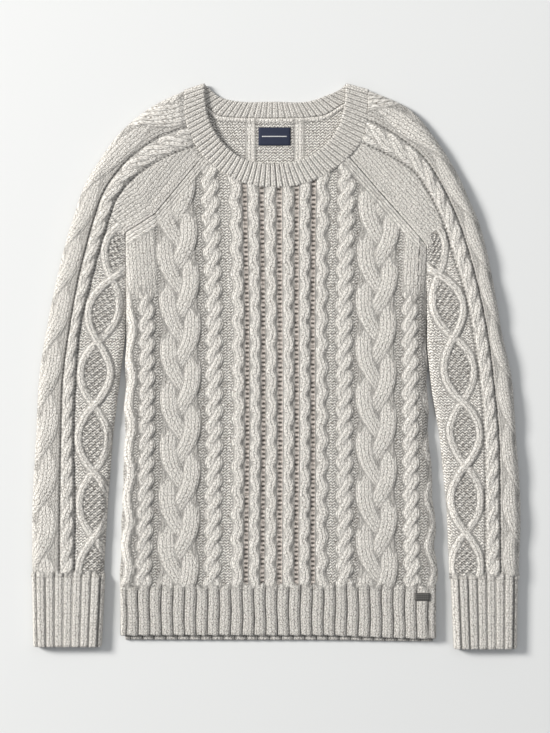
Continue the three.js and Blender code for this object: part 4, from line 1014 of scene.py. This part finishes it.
class SleevePlan:
    """Plan curves of one sleeve in rows that are evenly spaced up its inner groove."""

    def __init__(self, table):
        last = len(table["fold"]) - 1
        stations = np.linspace(0, last, last * 8 + 1)
        lengths = run_length(smooth_curve(table["inner"], stations / last))
        s = np.interp(np.linspace(0, lengths[-1], SLEEVE_ROWS), lengths, stations)
        self.table = table
        self.outwards = math.copysign(1, table["fold"][0][0])
        self.total = lengths[-1]
        self.length = np.linspace(0, self.total, SLEEVE_ROWS)
        self.stations = s
        self.fold, self.groove, self.inner = (
            smooth_curve(table[part], s / last) for part in ("fold", "groove", "inner")
        )
        self.top = np.interp(s, range(last + 1), table["top"])
        self.seam = along_line(table["seam"], s)
        self.seam[:, 0] -= self.outwards * 0.2 * smoothstep(s, 4, 5) * (1 - smoothstep(s, 6.5, 7))
        start, end = (np.array(point, float) for point in table["back"])
        t = np.clip((s - UNDERARM_STATION) / (last - UNDERARM_STATION), 0, 1)[:, None]
        self.back = np.where((s <= UNDERARM_STATION)[:, None], self.seam, start + (end - start) * t)
        self.width = distance(self.fold, self.seam)
        self.to_seam = (self.seam - self.fold) / self.width[:, None]
        self.in_cap = smoothstep(s, UNDERARM_STATION - 0.6, UNDERARM_STATION + 0.4)

    def plain_top(self, points):
        """Top of the plain tube at a line of points, one for each row."""
        fold_depth = distance(points, self.fold)
        seam_depth = distance(points, self.seam)
        round_top = self.top / 2 * (1 + quarter_round(fold_depth / SLEEVE_FOLD_RADIUS))
        rim = np.minimum(SLEEVE_WALL + SEAM_GAP + underarm_lift(self.seam[:, 1]), SLEEVE_INSIDE_TOP)
        low_top = round_top - (round_top - SLEEVE_INSIDE_TOP) * smoothstep(fold_depth, 20, self.width * 0.95)
        tube = rim + (low_top - rim) * quarter_round(seam_depth / SLEEVE_SEAM_RADIUS)
        seam_top = body_top(self.seam[:, 0] - self.outwards * 1.2, self.seam[:, 1])
        cap = seam_top + (round_top - seam_top) * smoothstep(seam_depth, 0, np.minimum(34, self.width * 0.6))
        return tube + (cap - tube) * self.in_cap


def diamond_line(plan, line, place, points):
    """Between the seam and the rope: diamonds on purl, plain knit in the cap and along the raglan seam."""
    from_rope = distance(points, plan.inner)
    seam_depth = distance(points, plan.seam)
    across = from_rope - DIAMOND["width"] / 2
    line.across = across
    line.shade[:] = SLEEVE_PURL_SHADE
    line.add_diamonds(across, plan.length - plan.table["start"]["diamond"], plan.stations < KNIT_CAP)
    knit_cap = smoothstep(plan.stations, KNIT_CAP - 0.15, KNIT_CAP + 0.15)
    columns = np.abs(np.sin(math.pi * seam_depth / STITCH["width"]))
    line.height = mix(line.height, 0.9 + 0.35 * columns, knit_cap)
    line.shade = mix(line.shade, PLAIN_SHADE, knit_cap)
    line.lay(knit_cap > 0.5, kind=KNIT, across=seam_depth)
    line.carve(from_rope, INNER_GROOVE, plan.length)
    line.keep_relief(smoothstep(seam_depth, 1, 9))
    band = plan.in_cap * (1 - smoothstep(seam_depth, RAGLAN_BAND - 3, RAGLAN_BAND))
    ridges, light = raglan_knit(seam_depth, points[:, 1])
    line.height = line.height * (1 - band) + (1.4 + 0.5 * ridges) * band * smoothstep(seam_depth, 0, 1)
    line.lay(band > 0.5, kind=KNIT, shade=light)


def rope_line(plan, line, place, points):
    """The rope between its two grooves."""
    across = plan.outwards * (place - 0.5) * 16
    groove_width = distance(plan.groove, plan.inner)
    line.add_cable(across, plan.length - plan.table["start"]["rope"], SLEEVE_ROPE)
    line.lay(line.kind != KNIT, across=across)
    line.carve(place * groove_width, INNER_GROOVE, plan.length)
    line.carve((1 - place) * groove_width, OUTER_GROOVE, plan.length)


def plait_line(plan, line, place, points):
    """Half of the plait that runs along the fold."""
    across = -plan.outwards * (1 - place) * 30
    line.add_cable(across, plan.length - plan.table["start"]["plait"], SLEEVE_PLAIT)
    line.lay(line.kind != KNIT, across=across)
    line.keep_relief(smoothstep(1 - place, -0.1, 0.3))
    # Painted shade towards the fold, where the slope faces the key light
    line.shade *= 1 - 0.1 * smoothstep(place, 0.4, 0.9)
    line.carve(place * distance(plan.fold, plan.groove), OUTER_GROOVE, plan.length)


def cuff_place(size, x):
    """How far along the top of a cuff, counted as its ribs are, a point above the cuff lies."""
    radius = size["height"] / 2
    from_middle = x - (size["outer"][0] + size["inner"][0]) / 2
    half = abs(size["outer"][0] - size["inner"][0]) / 2 - radius
    over = np.clip((np.abs(from_middle) - half) / radius, 0, 1)
    return half - np.sign(from_middle) * (np.minimum(np.abs(from_middle), half) + radius * np.arcsin(over))


def sleeve_top_lines(plan, size):
    """Points and surfaces of the lines on top of a sleeve, from the seam edge to the outer fold."""
    strips = [
        (plan.seam, plan.inner, [*SEAM_STEPS, *keys(35)[2:-1]], diamond_line),
        (plan.inner, plan.groove, keys(15)[:-1], rope_line),
        (plan.groove, plan.fold, [*keys(23)[:-3], *FOLD_STEPS], plait_line),
    ]
    lines, surfaces = [], []
    for first, last, places, knit_line in strips:
        for place in places:
            points = first + (last - first) * place
            line = Surface(np.full(SLEEVE_ROWS, place), plan.length)
            knit_line(plan, line, place, points)
            # Stitches keep their size where the line is longer than the inner groove
            line.along += run_length(points) - plan.length
            line.keep_relief(0.55 + 0.45 * smoothstep(plan.total - plan.length, 0, 110), 0.7)
            ribs = rib_surface(cuff_place(size, points[:, 0]), points[:, 1], CUFF_RIB)
            line.turn_to_ribs(ribs, rib_share(points[:, 0], plan.length))
            lines.append(np.column_stack([points, plan.plain_top(points)]))
            surfaces.append(line)
    return lines, surfaces


def sleeve_under_lines(plan):
    """The same under the fold and along the flat underside to the back edge."""
    lines, surfaces = [], []
    for angle in np.linspace(0, math.pi / 2, FOLD_LINES + 1)[1:]:
        depth = SLEEVE_FOLD_RADIUS * (1 - math.cos(angle))
        points = plan.fold + plan.to_seam * depth
        lines.append(np.column_stack([points, plan.top / 2 * (1 - math.sin(angle))]))
        surfaces.append(Surface(np.full(SLEEVE_ROWS, depth + 30), plan.length))
    start = plan.fold + plan.to_seam * SLEEVE_FOLD_RADIUS
    for t in keys(12)[1:]:
        points = start + (plan.back - start) * t
        lines.append(np.column_stack([points, np.zeros(SLEEVE_ROWS)]))
        surfaces.append(Surface(distance(points, plan.fold), plan.length))
    return lines, surfaces


def beside_seam(neck_seam, point, gap):
    """The nearest place of a neck seam, moved square off it and away from the neck."""
    dense = along_line(neck_seam, np.linspace(0, CURVE_POINTS - 1, 2400))
    along = np.gradient(dense, axis=0)
    square = np.stack([-along[:, 1], along[:, 0]], -1)
    square /= np.linalg.norm(square, axis=1, keepdims=True)
    square *= np.sign(np.sum(square * (dense - np.array(NECK_MIDDLE)), axis=1, keepdims=True))
    nearest = np.argmin(np.sum((dense - point) ** 2, axis=1))
    return dense[nearest] + square[nearest] * gap


def follow_neck(points, plan, top_lines):
    """Bend the neck end of a sleeve along the neckband's seam, above and below."""
    reach = smoothstep(plan.length, plan.total - 14, plan.total)
    for i in range(len(points)):
        neck_seam = front_seam if i < top_lines + 4 else back_seam
        gap = -NECK_TUCK if i < top_lines - 5 or i > top_lines + 9 else 0.5
        end = beside_seam(neck_seam, points[i, -1, :2], gap)
        points[i, :, :2] += (end - points[i, -1, :2]) * reach[:, None]


def sleeve_inside(plan, points, plain, top_lines, inner_rows):
    """Which lines the plain inner side has, and its points."""
    chosen = [0, 6, 14, 24, 34, 41, 48, 54, 60, 64]
    chosen += [top_lines - 1, top_lines + 6, top_lines + 12, len(points) - 1]
    inside = points[np.ix_(chosen, inner_rows)].copy()
    to_seam = plan.to_seam[inner_rows] * SLEEVE_WALL
    lowest = SLEEVE_WALL + SEAM_GAP - 0.1
    for k, line in enumerate(chosen):
        if line < top_lines - 1:
            inside[k, :, 2] = np.maximum(plain[line, inner_rows, 2] - SLEEVE_WALL, lowest)
        elif line == top_lines - 1:
            inside[k, :, :2] += to_seam
            inside[k, :, 2] = plan.top[inner_rows] / 2
        else:
            inside[k, :, 2] = SLEEVE_WALL
    inside[0, :, :2] -= to_seam * (1 - plan.in_cap[inner_rows])[:, None]
    return chosen, inside


def sleeve(name, table, size):
    plan = SleevePlan(table)
    lines, surfaces = sleeve_top_lines(plan, size)
    top_lines = len(lines)
    under_lines, under_surfaces = sleeve_under_lines(plan)
    plain = np.stack(lines + under_lines)
    surface = Surface(plain[..., 0], plain[..., 1])
    for part in ("across", "along", "kind", "shade", "height"):
        setattr(surface, part, np.stack([getattr(line, part) for line in surfaces + under_surfaces]))
    relief = surface.height
    relief[top_lines:] = 0
    fading = np.linspace(0.85, 0, FOLD_LINES)[:, None]
    relief[top_lines:top_lines + FOLD_LINES] = relief[top_lines - 1] * fading
    normals = plan.outwards * grid_normals(plain)
    normals[..., 2] = np.where(plain[..., 2] > 1, np.abs(normals[..., 2]), normals[..., 2])
    points = plain + normals * relief[..., None]
    uneven = UNEVEN * soft_noise((top_lines, SLEEVE_ROWS), (25, 110))
    points[:top_lines, :, 2] += uneven * smoothstep(plan.length, 0, 12)
    points[:top_lines, :, 2] -= table["neck_drop"] * smoothstep(plan.length, plan.total - 8, plan.total)
    points[..., 2] = np.maximum(points[..., 2], 0)
    points[0, :, 2] = np.maximum(plain[0, :, 2], SLEEVE_WALL + SEAM_GAP)
    points[0, :, :2] = plain[0, :, :2]
    follow_neck(points, plan, top_lines)

    inner_rows = np.linspace(0, SLEEVE_ROWS - 1, 40).astype(int)
    chosen, inside = sleeve_inside(plan, points, plain, top_lines, inner_rows)
    across = keys(len(points))
    across_keys = (across, across[chosen])
    along_keys = (plan.stations, plan.stations[inner_rows])
    leftwards = plan.outwards < 0
    if leftwards:
        across_keys = tuple(1 - side[::-1] for side in across_keys)
    return wall(name, knit_sleeve, points, surface, inside, across_keys, along_keys, reverse=leftwards)


# Cuffs: ribbed tubes pressed flat

def cuff_outline(size, top_count, end_count, under_count):
    """Round a cuff: share of the flat width, turn from the top, end that a point is at, and place in ribs."""
    radius = size["height"] / 2
    flat_width = abs(size["outer"][0] - size["inner"][0]) - 2 * radius
    turn = np.linspace(0, math.pi, end_count + 2)[1:-1]
    t = np.concatenate([keys(top_count)[::-1], np.zeros(end_count), keys(under_count), np.ones(end_count)])
    angle = np.concatenate([np.zeros(top_count), turn, np.full(under_count, math.pi), turn[::-1]])
    end = np.repeat([0, -1, 0, 1], [top_count, end_count, under_count, end_count])
    return t, angle, end, (1 - t) * flat_width - end * angle * radius


def cuff_points(size, outline, levels, reach, lift, round_bottom, lowest):
    radius = size["height"] / 2
    t, angle, end, _ = outline
    points = []
    for level in levels:
        y = size["bottom"] + (size["top"] - CUFF_GAP - size["bottom"]) * level
        outer_x, inner_x = (mix(*size[side][::-1], level) for side in ("outer", "inner"))
        half = abs(outer_x - inner_x) / 2 - radius
        from_bottom = level * (size["top"] - size["bottom"])
        round_off = round_bottom * max(0, 1 - from_bottom / 2.2) ** 2
        out = reach + lift - round_off * (angle < math.pi * 0.9)
        x = (outer_x + inner_x) / 2 + (2 * t - 1) * half + end * out * np.sin(angle)
        z = np.maximum(radius + out * np.cos(angle), lowest)
        points.append(xyz(x, np.full_like(x, y), z))
    return np.stack(points, 1)


def cuff(name, size):
    radius = size["height"] / 2
    levels = np.concatenate([[0, 0.01, 0.025], np.linspace(0.05, 0.95, 56), [0.975, 0.99, 1]])
    inner_levels = keys(5)
    outline = cuff_outline(size, 66, 14, 20)
    under = outline[1] > math.pi * 0.62
    ribs = rib_surface(outline[3], np.zeros_like(outline[3]), CUFF_RIB)
    ribs.lay(under, shade=PLAIN_SHADE)
    points = cuff_points(size, outline, levels, radius, np.where(under, 0, ribs.height), 1.3, 0)
    inner_outline = cuff_outline(size, 20, 5, 14)
    inner = cuff_points(size, inner_outline, inner_levels, radius - CUFF_WALL, 0, 0, CUFF_WALL)
    surface = Surface(points[..., 0], points[..., 1] + ribs.along[:, None])
    for part in ("across", "kind", "shade"):
        setattr(surface, part, np.repeat(getattr(ribs, part)[:, None], len(levels), 1))
    around = (keys(len(points) + 1), keys(len(inner) + 1))
    upwards = (levels, inner_levels)
    return wall(name, knit_rib, points, surface, inner, around, upwards, ring=True, reverse=True)


# Neckband: a ring folded over at the shoulders

def half_ring(free, seam, count):
    """Free edge and seam edge of the front or the back half of the neckband."""
    t = np.linspace(0, 1, count, endpoint=False)
    places = t * (len(free) - 1)
    return t, along_line(free, places), along_line(seam, places)


def neckband_side(side, across):
    """Points and surface of the outer side of the ring, or of the inner one where side is -1."""
    front_count, back_count = BAND_COUNTS
    front_t, *front_lines = half_ring(front_free, front_seam, front_count)
    back_t, *back_lines = half_ring(back_free, back_seam, back_count)
    free, seam = (np.vstack(pair) for pair in zip(front_lines, back_lines))
    t = np.concatenate([front_t, back_t])
    sign = np.repeat([1, -1], BAND_COUNTS)
    low, high = BAND_WALL / 2, BAND_TOP - BAND_WALL / 2
    level = (low + high) / 2 + sign * quarter_round(np.minimum(t, 1 - t) * 2 / 0.14) * (high - low) / 2
    plan = free[:, None] + (seam - free)[:, None] * across[None, :, None]
    middle = np.concatenate([plan, np.repeat(level[:, None, None], len(across), 1)], -1)
    before, after = np.roll(middle, 1, axis=0), np.roll(middle, -1, axis=0)
    normal = np.cross(after - before, (middle[:, -1] - middle[:, 0])[:, None])
    normal /= np.linalg.norm(normal, axis=-1, keepdims=True)

    rib = np.concatenate([front_t * BAND_RIB["front"], back_t * BAND_RIB["back"]])
    lean = np.concatenate([np.sin(2 * math.pi * (front_t - 0.5)), np.zeros(back_count)])
    counted = rib[:, None] - BAND_RIB["lean"] * lean[:, None] * across
    profile, place = rib_profile(counted, 1.0, 2.6)
    round_edge = quarter_round(np.minimum(across, 1 - across) / 0.08)
    shown = smoothstep(level * side, *((3.2, 5.2) if side > 0 else (-5.2, -3.2)))[:, None]
    relief = BAND_RIB["relief"] * (1 if side > 0 else 0.75) * np.sqrt(profile) * shown
    thickness = BAND_WALL / 2 + relief * round_edge - 0.5 * (1 - round_edge)
    points = middle + side * normal * thickness[..., None]
    points[..., 2] = np.maximum(points[..., 2], 0)
    surface = Surface(place * BAND_RIB["pitch"], across * 28 + np.floor(counted) * RIB_SHIFT)
    surface.kind = np.where(profile > 0.2, KNIT, PURL).astype(float)
    # Painted shade in the grooves between the ribs and at the rounded edges
    surface.shade = (0.46 + 0.52 * smoothstep(profile, 0, 0.85)) * (0.95 + 0.05 * round_edge)
    return points, surface


def neckband():
    across = np.concatenate([[0, 0.02, 0.05, 0.09], np.linspace(0.14, 0.86, 14), [0.91, 0.95, 0.98, 1]])
    outer, outer_surface = neckband_side(1, across)
    inner, inner_surface = neckband_side(-1, across)
    around = keys(len(outer) + 1)
    return wall("sweater_neckband", knit_rib, outer, outer_surface, inner, (around, around), (across, across),
                ring=True, inner_surface=inner_surface)


# Label and tab: thin woven pieces with rounded edges

def ribbon(name, low, high, rest, thickness, material, cells=(24, 14)):
    x, y = np.meshgrid(*(np.linspace(low[i], high[i], cells[i]) for i in (0, 1)), indexing="ij")
    base = rest(x, y)
    edge = np.minimum(np.minimum(x - low[0], high[0] - x), np.minimum(y - low[1], high[1] - y))
    crown = thickness * (0.55 + 0.45 * smoothstep(edge, 0, 1.2))
    top, under = (xyz(x, y, z) for z in (base + crown, base))
    return wall(name, material, top, None, under, (keys(cells[0]),) * 2, (keys(cells[1]),) * 2)


def neck_label():
    """The label, a little crowned across, and the thin line woven on it."""
    x, y, width, height = (LABEL[part] for part in ("x", "y", "width", "height"))

    def rest(at, _):
        return BODY_WALL + SEAM_GAP + LABEL["crown"] * np.sin((at - x + width / 2) / width * math.pi)

    def line_rest(at, _):
        return rest(at, _) + LABEL["thickness"] + LABEL_LINE["gap"]

    low, high = (x - width / 2, y - height / 2), (x + width / 2, y + height / 2)
    label = ribbon("sweater_label", low, high, rest, LABEL["thickness"], label_weave)
    low = (x - LABEL_LINE["half"], y + LABEL_LINE["low"])
    high = (x + LABEL_LINE["half"], y + LABEL_LINE["high"])
    line = ribbon("sweater_label_line", low, high, line_rest, LABEL_LINE["thickness"], label_thread, (24, 3))
    return label, line


def hem_tab():
    def rest(x, y):
        return body_top(x, y) + TAB["lift"]

    low, high = (TAB["left"], TAB["bottom"]), (TAB["right"], TAB["top"])
    return ribbon("sweater_tab", low, high, rest, TAB["thickness"], tab_weave)


def dress(piece, node):
    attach(piece, "root")
    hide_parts(node)


front = front_panel()
back = back_panel()
hem_front = front_hem()
hem_back = back_hem()
sleeve_left = sleeve("sweater_sleeve_left", SLEEVE_LEFT, CUFF_LEFT)
sleeve_right = sleeve("sweater_sleeve_right", SLEEVE_RIGHT, CUFF_RIGHT)
cuff_left = cuff("sweater_cuff_left", CUFF_LEFT)
cuff_right = cuff("sweater_cuff_right", CUFF_RIGHT)
band = neckband()
label, label_line = neck_label()
tab = hem_tab()

dress(front, "front_panel")
dress(back, "back_panel")
dress(sleeve_left, "sleeve_left")
dress(sleeve_right, "sleeve_right")
dress(hem_front, "hem_rib_front")
dress(hem_back, "hem_rib_back")
dress(cuff_left, "cuff_left")
dress(cuff_right, "cuff_right")
dress(band, "neckband")
dress(label, "neck_label")
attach(label_line, "root")
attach(tab, "root")
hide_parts("hem_tab")


# Floor, lights and camera

bpy.ops.mesh.primitive_plane_add(size=6, location=(0, 0, -0.0006))
floor = bpy.context.object
floor.name = "floor"
floor.data.materials.append(floor_material())


def area_light(name, place, size, power, colour):
    """A soft light that points at the middle of the floor."""
    data = bpy.data.lights.new(name, "AREA")
    data.size = size
    data.energy = power
    data.color = colour
    light = bpy.data.objects.new(name, data)
    bpy.context.scene.collection.objects.link(light)
    light.location = place
    light.rotation_euler = (light.location - floor.location).to_track_quat("Z", "Y").to_euler()


area_light("key", (-4.8, 2.0, 3.2), 1.6, 560, (1.0, 0.985, 0.96))
area_light("fill", (0.9, 0.6, 2.4), 2.2, 12, (0.95, 0.975, 1.0))
world = bpy.data.worlds.new("studio")
world.use_nodes = True
world.node_tree.nodes["Background"].inputs["Color"].default_value = (0.95, 0.97, 1.0, 1)
world.node_tree.nodes["Background"].inputs["Strength"].default_value = 0.37
bpy.context.scene.world = world

# The photograph is 733 pixels high and 1.18 mm to a pixel, taken from straight above
PHOTO_PIXEL = 1.18
PHOTO_HEIGHT = 733
PHOTO_CENTRE = np.array([-1.2, -1.2]) + OFFSET[:2]
CLOTH_MIDDLE = 8
LENS = 85
SENSOR = 36
camera_data = bpy.data.cameras.new("camera")
camera_data.lens = LENS
camera_data.sensor_width = SENSOR
camera = bpy.data.objects.new("camera", camera_data)
bpy.context.scene.collection.objects.link(camera)
camera_height = LENS / SENSOR * PHOTO_HEIGHT * PHOTO_PIXEL + CLOTH_MIDDLE
camera.location = (PHOTO_CENTRE[0] * MM, PHOTO_CENTRE[1] * MM, camera_height * MM)
bpy.context.scene.camera = camera
bpy.context.scene.view_settings.view_transform = "Standard"
